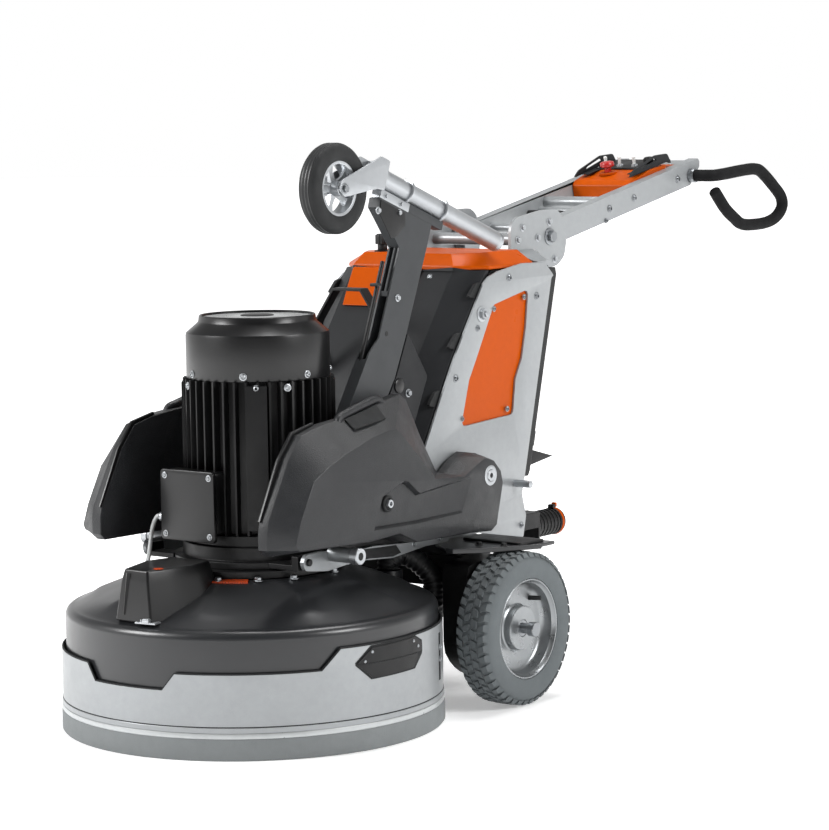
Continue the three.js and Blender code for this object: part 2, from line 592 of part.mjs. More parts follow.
// Loop grip on the left beam.
add("loop_grip", swept([
  [127, 1712, 1196], [165, 1712, 1196], [192, 1722, 1196], [200, 1760, 1199], [200, 1868, 1207], [200, 1925, 1208],
  [200, 1962, 1198], [200, 2030, 1156], [200, 2066, 1128], [200, 2072, 1100], [200, 2040, 1074], [200, 1985, 1060],
  [200, 1900, 1057], [200, 1850, 1062], [200, 1815, 1078], [200, 1767, 1106], [200, 1713, 1153],
], 16, 44, 10), COLOUR.rubber, 0.85);

export default machine;
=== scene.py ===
import math, json
import bpy, bmesh
from mathutils import Matrix, Vector
from mathutils.geometry import tessellate_polygon


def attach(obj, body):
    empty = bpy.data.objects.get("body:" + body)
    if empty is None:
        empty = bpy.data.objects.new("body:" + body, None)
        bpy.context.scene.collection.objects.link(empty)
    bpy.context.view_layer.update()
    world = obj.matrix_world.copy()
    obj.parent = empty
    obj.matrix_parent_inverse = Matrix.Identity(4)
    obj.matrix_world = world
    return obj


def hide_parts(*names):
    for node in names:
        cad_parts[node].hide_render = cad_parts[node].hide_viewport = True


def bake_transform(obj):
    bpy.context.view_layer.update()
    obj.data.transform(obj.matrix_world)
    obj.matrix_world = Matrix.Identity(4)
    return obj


scene = bpy.context.scene
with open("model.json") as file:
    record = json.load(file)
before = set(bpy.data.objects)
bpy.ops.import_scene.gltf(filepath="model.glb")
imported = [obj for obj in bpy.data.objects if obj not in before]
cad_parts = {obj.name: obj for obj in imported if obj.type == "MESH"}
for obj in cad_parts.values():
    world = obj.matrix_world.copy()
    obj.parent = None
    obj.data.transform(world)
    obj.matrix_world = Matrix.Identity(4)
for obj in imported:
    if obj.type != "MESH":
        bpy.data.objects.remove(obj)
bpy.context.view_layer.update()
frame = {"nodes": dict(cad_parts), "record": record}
S, CY = 0.001, 825.5            # shapes are given in millimetres with the head's axis at x = y = 0
cos, sin, pi, rad = math.cos, math.sin, math.pi, math.radians


def srgb(*c):
    """Linear colour of an 8-bit one."""
    return [((v / 255 + 0.055) / 1.055) ** 2.4 if v > 10 else v / 255 / 12.92 for v in c]


# ---- camera --------------------------------------------------------------
EYE = Vector((4.2596, -5.8616, 1.3876))
SENSOR, LENS = 36, 126.65


def camera():
    """The photograph's view: bearing of the object, then how the camera is turned away from it."""
    az, yaw, pitch, roll = 0.7021, -0.0572, -0.1047, -0.0154
    fh = Vector((-sin(az + yaw), cos(az + yaw), 0))
    right = Vector((cos(az + yaw), sin(az + yaw), 0))
    fw = fh * cos(pitch) + Vector((0, 0, 1)) * sin(pitch)
    up = right.cross(fw)
    r = right * cos(roll) + up * sin(roll)
    u = up * cos(roll) - right * sin(roll)
    cam = bpy.data.objects.new("camera", bpy.data.cameras.new("camera"))
    m = Matrix((r, u, -fw)).transposed().to_4x4()
    m.translation = EYE
    cam.matrix_world = m
    cam.data.sensor_width, cam.data.lens = SENSOR, LENS
    cam.data.clip_start, cam.data.clip_end = 0.1, 200
    scene.collection.objects.link(cam)
    scene.camera = cam


camera()

def rgba(sockets, name):
    """The colour socket of that name on a Mix node."""
    return next(s for s in sockets if s.name == name and s.type == "RGBA")


# ---- materials -----------------------------------------------------------
M = {}


def material(name, colour, rough, metal=0.0, coat=0.0, tone=(5, 0.06), grain=(700, 0.12), lump=None,
             spread=0.07, spec=0.5, wave=None, dots=None, dust=0.0):
    """Painted, cast or moulded surface: slow tone change, fine grain, uneven roughness, settled dust."""
    m = bpy.data.materials.new(name)
    m.use_nodes = True
    nt = m.node_tree
    n, link = nt.nodes, nt.links.new
    b = n["Principled BSDF"]
    b.inputs["Metallic"].default_value = metal
    b.inputs["Coat Weight"].default_value = coat
    b.inputs["Coat Roughness"].default_value = 0.12
    b.inputs["Specular IOR Level"].default_value = spec
    co = n.new("ShaderNodeTexCoord").outputs["Object"]

    def noise(scale, detail=3.0, rough_=0.55):
        t = n.new("ShaderNodeTexNoise")
        t.inputs["Scale"].default_value, t.inputs["Detail"].default_value = scale, detail
        t.inputs["Roughness"].default_value = rough_
        link(co, t.inputs["Vector"])
        return t.outputs["Fac"]

    def remap(src, lo, hi, frm=(0.3, 0.7)):
        t = n.new("ShaderNodeMapRange")
        t.inputs["From Min"].default_value, t.inputs["From Max"].default_value = frm
        t.inputs["To Min"].default_value, t.inputs["To Max"].default_value = lo, hi
        link(src, t.inputs["Value"])
        return t.outputs["Result"]

    def mix(fac, a, c):
        t = n.new("ShaderNodeMix")
        t.data_type = "RGBA"
        for key, val in (("A", a), ("B", c)):
            s = rgba(t.inputs, key)
            if isinstance(val, list):
                s.default_value = val + [1]
            else:
                link(val, s)
        link(fac, t.inputs["Factor"])
        return rgba(t.outputs, "Result")

    lin = srgb(*colour)
    col = mix(remap(noise(tone[0]), 0, 1), [v * (1 - tone[1]) for v in lin],
              [min(1, v * (1 + tone[1])) for v in lin])
    col = mix(remap(noise(grain[0] * 0.5, 2), 0, 1), col, mix(remap(noise(60), 0, 1),
        [v * 0.93 for v in lin], [min(1, v * 1.05) for v in lin]))
    if dust:
        geo = n.new("ShaderNodeNewGeometry").outputs["Normal"]
        sep = n.new("ShaderNodeSeparateXYZ")
        link(geo, sep.inputs[0])
        mul = n.new("ShaderNodeMath")
        mul.operation = "MULTIPLY"
        link(remap(sep.outputs["Z"], 0, dust, (0.4, 1.0)), mul.inputs[0])
        link(remap(noise(24, 5), 0.35, 1.0), mul.inputs[1])
        col = mix(mul.outputs[0], col, srgb(168, 164, 157))
    link(col, b.inputs["Base Color"])
    link(remap(noise(tone[0] * 3, 4), max(0.03, rough - spread), min(1, rough + spread)),
         b.inputs["Roughness"])
    height = noise(grain[0], 2)
    bump = n.new("ShaderNodeBump")
    bump.inputs["Strength"].default_value, bump.inputs["Distance"].default_value = grain[1], 0.0006
    link(height, bump.inputs["Height"])
    last = bump
    if lump:
        v = n.new("ShaderNodeTexVoronoi")
        v.inputs["Scale"].default_value = lump[0]
        link(co, v.inputs["Vector"])
        b2 = n.new("ShaderNodeBump")
        b2.inputs["Strength"].default_value, b2.inputs["Distance"].default_value = lump[1], lump[2]
        add = n.new("ShaderNodeMath")
        add.operation = "ADD"
        link(v.outputs["Distance"], add.inputs[0])
        link(noise(lump[0] * 0.6, 5), add.inputs[1])
        link(add.outputs[0], b2.inputs["Height"])
        link(last.outputs["Normal"], b2.inputs["Normal"])
        last = b2
    if wave:
        w = n.new("ShaderNodeTexNoise")
        sc = n.new("ShaderNodeMapping")
        sc.inputs["Scale"].default_value = wave[0]
        link(co, sc.inputs["Vector"])
        link(sc.outputs["Vector"], w.inputs["Vector"])
        w.inputs["Scale"].default_value = 1
        b3 = n.new("ShaderNodeBump")
        b3.inputs["Strength"].default_value, b3.inputs["Distance"].default_value = wave[1], 0.001
        link(w.outputs["Fac"], b3.inputs["Height"])
        link(last.outputs["Normal"], b3.inputs["Normal"])
        last = b3
    # Near-black dots mixed into the colour: on the grille they are painted shade standing for its holes; on
    # the sticker they are marks in its own colouring.
    if dots:
        v = n.new("ShaderNodeTexVoronoi")
        v.inputs["Scale"].default_value, v.inputs["Randomness"].default_value = dots, 0.0
        link(co, v.inputs["Vector"])
        link(mix(remap(v.outputs["Distance"], 0, 1, (0.3, 0.42)), [0.01, 0.01, 0.01], col),
             b.inputs["Base Color"])
    link(last.outputs["Normal"], b.inputs["Normal"])
    M[name] = m


material("silver", (150, 153, 155), 0.38, metal=0.35, coat=0.1, grain=(900, 0.10), tone=(4, 0.05))
# Painted highlight: a lighter copy of the silver paint, for the skirt's rolled lip so that it looks lit.
material("silver_lip_highlight", (186, 189, 190), 0.34, metal=0.4, grain=(900, 0.08))
material("orange", (178, 72, 0), 0.34, coat=0.02, spec=0.1, grain=(500, 0.05), tone=(3, 0.04))
material("charcoal", (34, 35, 37), 0.32, coat=0.15, spread=0.025, grain=(1100, 0.04), tone=(4, 0.08))
material("arm_grey", (52, 54, 56), 0.48, metal=0.1, spec=0.35, grain=(900, 0.14), tone=(6, 0.08))
material("sheet", (30, 31, 33), 0.5, spec=0.22, grain=(900, 0.16), tone=(6, 0.10))
material("black", (14, 14, 15), 0.46, grain=(1000, 0.2), tone=(8, 0.2), spec=0.35)
material("gloss_black", (13, 13, 14), 0.33, coat=0.06, spec=0.4, spread=0.025, grain=(900, 0.05),
         tone=(6, 0.1))
material("cast", (34, 35, 37), 0.44, spec=0.4, grain=(520, 0.7), lump=(330, 0.35, 0.0008), tone=(9, 0.12),
         dust=0.02)
material("zinc", (172, 175, 178), 0.36, metal=0.9, grain=(900, 0.06), tone=(9, 0.04), spread=0.02)
material("plate_zinc", (140, 143, 145), 0.4, metal=0.6, grain=(900, 0.1), tone=(14, 0.07))
material("wheel_zinc", (150, 153, 155), 0.3, metal=0.85, grain=(800, 0.08), tone=(10, 0.08))
material("steel", (142, 145, 148), 0.32, metal=0.95, grain=(900, 0.12), tone=(20, 0.1))
material("tyre", (98, 103, 105), 0.84, grain=(600, 0.4), tone=(12, 0.08), spec=0.25, dust=0.06)
material("rubber", (27, 28, 29), 0.7, grain=(700, 0.35), tone=(12, 0.15), spec=0.35)
material("foam", (20, 20, 21), 0.92, grain=(1500, 0.9), tone=(14, 0.15), spec=0.2)
material("hose", (30, 31, 32), 0.42, grain=(900, 0.2), tone=(14, 0.15))
material("red", (168, 18, 14), 0.33, coat=0.3, grain=(400, 0.05))
material("white", (222, 223, 221), 0.36, grain=(400, 0.05), tone=(8, 0.03))
material("brush", (117, 121, 122), 0.66, grain=(900, 0.5), wave=((420, 420, 5), 0.5), tone=(7, 0.06),
         dust=0.05)
# The grille's dark dots are painted shade for its holes.
material("grille", (176, 178, 178), 0.4, metal=0.5, dots=330)
material("sticker", (198, 66, 6), 0.45, dots=300, spec=0.3)
material("cable", (188, 190, 190), 0.5, metal=0.3, wave=((300, 300, 900), 0.3))


# ---- shapes: each returns (vertices in mm, faces) ------------------------
def rounded(ring, r, n=5):
    out = []
    for i, p in enumerate(ring):
        p, a, b = Vector(p), Vector(ring[i - 1]), Vector(ring[(i + 1) % len(ring)])
        d1, d2 = (a - p), (b - p)
        l = min(d1.length, d2.length) * 0.45
        ang = d1.angle(d2)
        t = min(l, r / math.tan(ang / 2)) if ang < pi - 0.02 else 0
        if t < 0.05:
            out.append(tuple(p))
            continue
        s, e = p + d1.normalized() * t, p + d2.normalized() * t
        out += [tuple((s * (1 - k) + p * k) * (1 - k) + (p * (1 - k) + e * k) * k)
                for k in (j / n for j in range(n + 1))]
    return out


AX = {"x": Matrix(((0, 0, 1), (1, 0, 0), (0, 1, 0))), "y": Matrix(((1, 0, 0), (0, 0, -1), (0, 1, 0))),
      "z": Matrix.Identity(3)}


def prism(axis, outline, a, b, holes=(), ch=1.0, steps=2):
    """Plate with holes: its outline filled, thickened and edge-rounded by ch."""
    cu = bpy.data.curves.new("t", "CURVE")
    cu.dimensions, cu.fill_mode = "2D", "BOTH"
    for ring in [outline, *holes]:
        sp = cu.splines.new("POLY")
        sp.points.add(len(ring) - 1)
        for p, (u, v) in zip(sp.points, ring):
            p.co = (u, v, 0, 1)
        sp.use_cyclic_u = True
    ch = min(ch, abs(b - a) / 2 - 0.01)
    cu.extrude, cu.bevel_depth, cu.bevel_resolution, cu.offset = abs(b - a) / 2 - ch, ch, steps - 1, -ch
    ob = bpy.data.objects.new("t", cu)
    scene.collection.objects.link(ob)
    me = ob.evaluated_get(bpy.context.evaluated_depsgraph_get()).to_mesh()
    bm = bmesh.new()
    bm.from_mesh(me)
    bmesh.ops.remove_doubles(bm, verts=bm.verts, dist=0.002)
    mid = Vector([(a + b) / 2 if axis == k else 0 for k in "xyz"])
    vs = [AX[axis] @ v.co + mid for v in bm.verts]
    bm.verts.index_update()
    fs = [tuple(v.index for v in f.verts) for f in bm.faces]
    bm.free()
    bpy.data.objects.remove(ob)
    bpy.data.curves.remove(cu)
    return vs, fs


def box(x0, x1, y0, y1, z0, z1, ch=1.0):
    return prism("z", [(x0, y0), (x1, y0), (x1, y1), (x0, y1)], z0, z1, ch=ch)


def lathe(profile, axis="z", centre=(0, 0, 0), seg=48, arc=None, warp=None):
    """Profile of (radius, place along the axis) turned about the axis."""
    c, vs, fs, rings = Vector(centre), [], [], []
    a0, a1 = arc or (0, 2 * pi)
    n = seg if not arc else seg + 1
    for r, t in profile:
        start = len(vs)
        if r < 1e-6 and not arc:
            vs.append(Vector((0, 0, t)))
            rings.append([start] * seg)
            continue
        for i in range(n):
            a = a0 + (a1 - a0) * i / seg
            p = Vector((r * cos(a), r * sin(a), t))
            vs.append(warp(p, a) if warp else p)
        rings.append([start + i for i in range(n)])
    loop = list(zip(rings, rings[1:]))
    if profile[0][0] > 1e-6 or profile[-1][0] > 1e-6 or arc:
        loop.append((rings[-1], rings[0]))
    for ra, rb in loop:
        for i in range(seg):
            j = (i + 1) % n if not arc else i + 1
            q = [ra[i], ra[j], rb[j], rb[i]]
            q = [v for k, v in enumerate(q) if v != q[k - 1]]
            if len(q) > 2:
                fs.append(tuple(q))
    if arc:
        fs += [tuple(r[0] for r in rings), tuple(r[-1] for r in reversed(rings))]
    rot = {"z": lambda p: p, "x": lambda p: Vector((p.z, p.x, p.y)),
           "y": lambda p: Vector((p.y, p.z, p.x))}[axis]
    return [rot(p) + c for p in vs], fs


def rod(axis, r, a, b, centre=(0, 0, 0), ch=0.8, seg=32):
    ch = min(ch, r / 2, (b - a) / 2.01)
    return lathe([(0, a), (r - ch, a), (r - ch * 0.3, a + ch * 0.3), (r, a + ch), (r, b - ch),
                  (r - ch * 0.3, b - ch * 0.3), (r - ch, b), (0, b)], axis, centre, seg)


def loft(rings):
    n, vs, fs = len(rings[0]), [Vector(p) for r in rings for p in r], []
    for k in range(len(rings) - 1):
        for i in range(n):
            j = (i + 1) % n
            fs.append((k * n + i, k * n + j, (k + 1) * n + j, (k + 1) * n + i))
    return vs, fs + [tuple(range(n))[::-1], tuple(range((len(rings) - 1) * n, len(rings) * n))]


def smooth_path(pts, per=6):
    pts = [Vector(p) for p in pts]
    ext, out = [pts[0] * 2 - pts[1], *pts, pts[-1] * 2 - pts[-2]], []
    for i in range(1, len(ext) - 2):
        p0, p1, p2, p3 = ext[i - 1:i + 3]
        for k in range(per):
            t = k / per
            square, cube = 2 * p0 - 5 * p1 + 4 * p2 - p3, 3 * p1 - p0 - 3 * p2 + p3
            out.append(0.5 * ((2 * p1) + (p2 - p0) * t + square * t * t + cube * t ** 3))
    return out + [pts[-1]]


def sweep(path, r, seg=16, closed=False):
    """Tube along a path; r is a number or a list with one radius per point."""
    n = len(path)
    rs = r if isinstance(r, list) else [r] * n
    tang = [(path[(i + 1) % n if closed else min(i + 1, n - 1)] - path[i - 1 if closed
        else max(i - 1, 0)]).normalized() for i in range(n)]
    side = tang[0].orthogonal().normalized()
    vs, fs = [], []
    for i in range(n):
        side = (side - tang[i] * side.dot(tang[i])).normalized()
        other = tang[i].cross(side)
        vs += [path[i] + (side * cos(2 * pi * k / seg) + other * sin(2 * pi * k / seg)) * rs[i]
               for k in range(seg)]
    for i in range(n if closed else n - 1):
        for k in range(seg):
            here, there, turn = i * seg, ((i + 1) % n) * seg, (k + 1) % seg
            fs.append((here + k, here + turn, there + turn, there + k))
    if not closed:
        fs += [tuple(range(seg))[::-1], tuple(range((n - 1) * seg, n * seg))]
    return vs, fs


shift = Matrix.Translation


def turn(degrees, axis):
    return Matrix.Rotation(rad(degrees), 4, axis)


def interpolate(table, t, beyond):
    """Straight lines between the (t, value) pairs of a table, or beyond outside them."""
    for (t0, v0), (t1, v1) in zip(table, table[1:]):
        if t0 <= t <= t1:
            return v0 + (v1 - v0) * (t - t0) / (t1 - t0)
    return beyond


def place(m, *parts):
    return [([m @ Vector(v) for v in vs], fs) for vs, fs in parts]


def flip(*parts):
    """The same shapes on the machine's right side."""
    return [([Vector((-v[0], v[1], v[2])) for v in vs], [f[::-1] for f in fs]) for vs, fs in parts]


def on_side(side):
    """Leaves shapes on the left side, or mirrors them to the right one."""
    return flip if side == "right" else (lambda *parts: list(parts))


def bolt(p, n, r=6.0, kind="socket", washer=True):
    h, base = {"socket": r * 1.0, "hex": r * 0.8, "dome": r * 0.6}[kind], (r * 0.22 if washer else 0)
    out = [lathe([(0, 0), (r * 1.45, 0), (r * 1.45, base * 0.8), (r * 1.35, base), (0, base)],
                 seg=24)] if washer else []
    if kind == "hex":
        out.append(lathe([(0, base), (r, base), (r, base + h * 0.85), (r * 0.88, base + h), (0, base + h)],
                         seg=6))
    else:
        low = base + h * 0.4
        top = [(r, base), (r, base + h * 0.8), (r * 0.9, base + h)] if kind == "socket" else \
              [(r * 1.05, base), (r * 0.98, base + h * 0.5), (r * 0.7, base + h)]
        out.append(lathe([(0, base), *top, (r * 0.52, base + h), (r * 0.5, low), (0, low)], seg=24
                         if kind == "socket" else 18))
    m = shift(Vector(p)) @ Vector((0, 0, 1)).rotation_difference(Vector(n)).to_matrix().to_4x4()
    return place(m, *out)


def make(name, body, groups, nodes=(), bevel=0, angle=35):
    """One object out of groups of (material, shapes), riding on a body and standing for CAD nodes."""
    me = bpy.data.meshes.new(name)
    bm = bmesh.new()
    for k, (mat, parts) in enumerate(groups):
        me.materials.append(M[mat])
        for vs, fs in parts:
            new = [bm.verts.new((v[0] * S, (v[1] - CY) * S, v[2] * S)) for v in vs]
            for f in fs:
                try:
                    face = bm.faces.new([new[i] for i in f])
                    face.material_index, face.smooth = k, True
                except ValueError:
                    pass
    bmesh.ops.recalc_face_normals(bm, faces=bm.faces)
    bm.to_mesh(me)
    bm.free()
    return finish_piece(name, me, body, nodes, bevel, angle)


def finish_piece(name, me, body, nodes, bevel, angle):
    """Sharp or rounded edges, then the body and the replaced nodes of the piece."""
    if not bevel:
        me.set_sharp_from_angle(angle=rad(angle))
    ob = bpy.data.objects.new(name, me)
    scene.collection.objects.link(ob)
    if bevel:
        b = ob.modifiers.new("bevel", "BEVEL")
        b.width, b.segments, b.limit_method, b.angle_limit = bevel * S, 2, "ANGLE", rad(30)
        ob.modifiers.new("normals", "WEIGHTED_NORMAL").keep_sharp = True
    if body:
        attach(ob, body)
    if nodes:
        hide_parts(*nodes)
    return ob


NODE_BODY = {n: b for b, ns in frame["record"]["behaviour"]["bodies"].items() for n in ns}


def shaped(node, mat, bevel=1.2, angle=32):
    """A node's own shape, welded, with its flat faces joined and its edges rounded."""
    bm = bmesh.new()
    bm.from_mesh(frame["nodes"][node].data)
    bmesh.ops.remove_doubles(bm, verts=bm.verts, dist=2e-6)
    bmesh.ops.dissolve_limit(bm, angle_limit=rad(1.0), verts=bm.verts, edges=bm.edges)
    bmesh.ops.recalc_face_normals(bm, faces=bm.faces)
    for f in bm.faces:
        f.smooth, f.material_index = True, 0
    me = bpy.data.meshes.new(node + "_look")
    bm.to_mesh(me)
    bm.free()
    me.materials.clear()
    me.materials.append(M[mat])
    return finish_piece(node + "_look", me, NODE_BODY[node], [node], bevel, angle)


def keep(node, mat):
    me = frame["nodes"][node].data
    me.materials.clear()
    me.materials.append(M[mat])


# ---- axes, in millimetres ------------------------------------------------
WHEEL = (0, 472, 180)            # axle of the drive wheels
WING_PIN = (0, 504, 528)         # pin that a wing swings on
JOCKEY_AXLE = (0, -154, -75)     # in the tube's own frame
ARM_PEG = (0, -4, 403)           # peg that a wing rests on
INLET = (158, 0, 350)            # axis of the dust inlet
FILLER = (-100, 640, 0)          # axis of the filler cap
STOP = (-20, 530, 0)             # axis of the stop button, in the handle's own frame

# ---- grinding head -------------------------------------------------------
keep("gearbox", "black")
keep("motor_rotor", "steel")
keep("planet_plate", "steel")
for k in (1, 2, 3):
    shaped(f"grinding_disc_{k}", "steel", 0.8)
keep("inverter", "steel")

MY = 38.5                        # the motor's axis stands this far behind the head's
MOTOR = (0, MY, 0)


COVER_PROFILE = [(200, 356), (226, 352), (330, 310), (375, 291), (404, 279), (424, 268)]
FACETS = 9


def cover_warp(p, a):
    """Flattens the sloping part of the cover into facets."""
    r = math.hypot(p.x, p.y)
    w = max(0.0, min(1.0, (r - 210) / 70)) * max(0.0, min(1.0, (404 - r) / 50))
    step = 2 * pi / FACETS
    off = (a + pi / 2 + step / 2) % step - step / 2
    rp = r * (1 - w * (1 - cos(off)) * 0.75)
    z = interpolate(COVER_PROFILE, rp, None)
    return p if z is None else Vector((p.x, p.y, p.z + w * (z - base_z(r))))


def base_z(r):
    """Height of the round cover at a radius, before the facets."""
    return interpolate(COVER_PROFILE, r, 268)


top = [(r, base_z(r)) for r in range(204, 406, 8)]
shoulder = [(404 + 20 * sin(t), 259 + 20 * cos(t)) for t in (k * pi / 16 for k in range(0, 9))]
cover = lathe([(424, 131), (418.5, 131), (418.5, 250), (405, 264), (225, 344), (203, 349), *top[:-1],
               *shoulder], seg=180, warp=lambda p, a: cover_warp(p, a)
               if p.z > 262 and math.hypot(p.x, p.y) > 200 else p)
make("cover", "head", [("charcoal", [cover]), ("charcoal",
    [lathe([(28, 282), (34, 282), (34, 314), (28, 314)], centre=(140, 330, 0), seg=36)])], ["head_cover"],
    angle=24)
hatch = loft([[(x, y, z) for x, y in ring] for z,
              ring in ((285, [(-54, -400), (52, -402), (94, -270), (76, -190), (-76, -190), (-94, -270)]),
                       (372, [(-40, -394), (38, -394), (76, -278), (60, -200), (-60, -200), (-76, -278)]),
                       (400, [(-34, -388), (33, -389), (68, -282), (54, -206), (-54, -206), (-70, -282)]))])
groove = loft([[(-33, -398, 300), (-27, -402, 300), (-22, -396, 300)],
               [(-22, -396, 392), (-18, -398, 392), (-14, -392, 392)]])
make("hatch", "head", [("gloss_black", [hatch])], bevel=5)
clip = [box(-98, -46, -330, -306, 300, 304, 1), box(-78, -62, -332, -300, 303, 312, 2),
        *bolt((-88, -318, 303), (0, 0, 1), 4)]
make("hatch_fittings", "head", [("zinc", place(shift((66, -72, -14)) @ turn(8, "Z"), *clip)),
    ("sticker", [lathe([(0, 400), (11, 400), (11, 400.8), (0, 400.8)], centre=(36, -356, 0), seg=32)]),
    ("black", [groove])])
sector = lathe([(203, 354), (203, 357.5), (226, 355.5), (226, 351)], seg=60, arc=(rad(-142), rad(-52)))
ring_bolts = [b for a in (-46, -24, -70, -112, -150, 10, 40, 70, 110, 150, 190)
              for b in bolt((214 * cos(rad(a)), 214 * sin(rad(a)), 355), (0, 0, 1), 8, "hex")]
make("cover_fittings", "head", [("sticker", [sector]), ("steel", ring_bolts)])



def wrapped(cols, r0, r1):
    """A plate bent round the skirt: (angle in degrees, low z, high z) from one end to the other."""
    fine = []
    for (a0, l0, h0), (a1, l1, h1) in zip(cols, cols[1:]):
        n = max(1, int((a1 - a0) / 1.2))
        fine += [(a0 + (a1 - a0) * k / n, l0 + (l1 - l0) * k / n, h0 + (h1 - h0) * k / n) for k in range(n)]
    fine.append(cols[-1])
    return loft([[(r * cos(rad(a)), r * sin(rad(a)), z) for r,
                  z in ((r0, lo), (r1, lo), (r1, hi), (r0, hi))] for a, lo, hi in fine])


def skirt_top(off):
    """Height of the band's stepped edge, so many degrees from the middle of the front."""
    return interpolate([(0, 150), (13, 150), (17, 187), (60, 187), (66, 231)], off, 231)


offs = sorted(set([k * 2.0 for k in range(0, 91)] + [13, 12.6, 13.5, 16.6, 17.4, 17, 60, 59.5, 60.4, 65.5,
    66.4]))
around = [-90 + o for o in offs] + [-90 + 360 - o for o in reversed(offs[1:-1])]
band_v, band_f = [], []
for a in around:
    z1 = skirt_top(abs((a + 90 + 180) % 360 - 180))
    band_v += [Vector((r * cos(rad(a)), r * sin(rad(a)), z)) for r,
               z in ((429.2, 48), (434, 48), (434, z1 - 0.8), (433.3, z1), (429.9, z1), (429.2, z1 - 0.8))]
n = len(around)
for i in range(n):
    for k in range(6):
        band_f.append((i * 6 + k, i * 6 + (k + 1) % 6, (i + 1) % n * 6 + (k + 1) % 6, (i + 1) % n * 6 + k))
trim = sweep([Vector((431.4 * cos(rad(a)), 431.4 * sin(rad(a)),
                      skirt_top(abs((a + 270) % 360 - 180)) + 0.6)) for a in around], 2.6, 8, True)
lip = lathe([(430, 48), (435.6, 48), (436.8, 50), (436.8, 57), (435.8, 59.5), (430, 59.5)], seg=160)
collar_ring = lathe([(430, 60), (435, 60), (435.6, 61), (435.6, 71), (434.8, 72), (430, 72)], seg=160)
shadow_gap = lathe([(430, 72), (434.3, 72), (434.3, 74.4), (430, 74.4)], seg=160)
brush = lathe([(425, 0), (434.5, 0), (437, 3), (437, 44), (435.5, 47.5), (425, 47.5)], seg=160)
grips, grip_bolts, slots = [], [], []
for side in (0, 1):
    upper = wrapped([(-18.6, 193, 196), (-13.5, 193, 225), (4.8, 193, 228), (8.5, 193, 213),
                     (8.6, 193, 196)], 433.6, 437)
    lower = wrapped([(-18.3, 188, 190.5), (-13.4, 159, 190.5), (4.4, 161, 190.5), (6.6, 178, 190.5)], 433.6,
                    435.4)
    rim = wrapped([(-19.4, 190, 196), (-13.9, 155, 230), (5.2, 157, 232), (9.4, 186, 216), (9.6, 192, 205)],
                  433.4, 434.6)
    bar = wrapped([(24.2, 104, 211), (25.8, 104, 211)], 433.4, 435.2)
    pts = [bolt((437 * cos(rad(a)), 437 * sin(rad(a)), z), (cos(rad(a)), sin(rad(a)), 0), 3.4, "dome",
                False) for a, z in ((-16.2, 197), (-13.6, 216), (4.2, 220), (6.6, 206))]
    pts += [bolt((435 * cos(rad(25)), 435 * sin(rad(25)), z), (cos(rad(25)), sin(rad(25)), 0), 5, "hex")
            for z in (152, 178)]
    parts = [b for p in pts for b in p]
    grips += flip(upper, lower) if side else [upper, lower]
    slots += flip(rim, bar) if side else [rim, bar]
    grip_bolts += flip(*parts) if side else parts
# The rolled lip takes the lighter silver copy, a painted highlight along the lip.
make("skirt", "skirt", [("silver", [(band_v, band_f), collar_ring]), ("silver_lip_highlight", [lip]),
                        ("rubber", [trim, shadow_gap]), ("brush", [brush])], ["skirt_shroud", "skirt_ring"],
                        angle=30)
make("skirt_fittings", "skirt", [("black", grips), ("rubber", slots), ("zinc", grip_bolts)],
     angle=28)

# Motor: foot, finned stator, fan cowl, terminal box and its lead.
shaped("motor_flange", "black", 1.5)
fins = []
for i in range(40):
    for f, r in ((0, 172), (0.16, 172), (0.27, 153), (0.89, 153)):
        t = 2 * pi * (i + f + 0.28) / 40
        fins.append((r * cos(t), MY + r * sin(t)))
stator = prism("z", fins, 443.4, 788, ch=0.7)
columns = [box(-24, 24, -6, 6, 455, 780, 2)]
cols = [p for a in (-52, 38, 128, 218)
        for p in place(shift((168 * cos(rad(a)), MY + 168 * sin(rad(a)), 0)) @ turn(a + 90, "Z"), *columns)]


def outward_bolts(angles, radius, z):
    """Dome heads round the motor, pointing away from its axis."""
    out = []
    for a in map(rad, angles):
        out += bolt((radius * cos(a), MY + radius * sin(a), z), (cos(a), sin(a), 0), 6, "dome")
    return out


eyes = outward_bolts((-118, -52, -28, 60, 150), 171, 774)
make("stator", "head", [("black", [stator, *cols]), ("zinc", eyes)], ["motor_stator"], angle=28)
cowl = lathe([(159, 788), (162.5, 788), (163.5, 790), (163.5, 884), (162, 890), (136, 912), (134, 916),
              (132.5, 927), (130.5, 929), (127.5, 928), (126.5, 918), (127, 912), (157, 888), (159, 884)],
              centre=MOTOR, seg=96)
mesh_top = lathe([(0, 921), (127.5, 921), (127.5, 923.5), (40, 925.5), (0, 925.5)], centre=MOTOR, seg=96)
hub = lathe([(0, 925), (38, 925), (38, 927), (30, 928.5), (0, 928.5)], centre=MOTOR, seg=48)
cowl_bolts = outward_bolts((-115, -62, -8, 45, 98, 152), 163.4, 800)
make("cowl", "head", [("gloss_black", [cowl]), ("grille", [mesh_top]), ("black", [hub]),
                      ("zinc", cowl_bolts)], ["fan_cowl"], angle=30)
lid = prism("y", rounded([(-122, 430), (36, 430), (36, 590), (-122, 590)], 10), -168, -157, ch=2.5)
tray = prism("y", rounded([(-120, 446), (34, 446), (34, 588), (-120, 588)], 10), -157.5, -119, ch=1.5)
lid_bolts = [b for x in (-108, 22) for z in (444, 576) for b in bolt((x, -168, z), (0, -1, 0), 5, "dome")]
gland = [rod("x", 12, -131, -119, (0, -148, 478), seg=6), rod("x", 10, -140, -130, (0, -148, 478))]
make("terminal", "head", [("gloss_black", [lid, tray]), ("zinc", lid_bolts + gland)], ["terminal_box"],
     angle=30)
lead = smooth_path([(-140, -148, 478), (-150, -148.5, 477), (-157, -153, 462), (-160, -158, 440),
                    (-152, -176, 400), (-132, -206, 378), (-112, -232, 371)], 5)
cable = make("lead", "head", [("cable", [sweep(lead, 5, 14)])], ["motor_cable"])

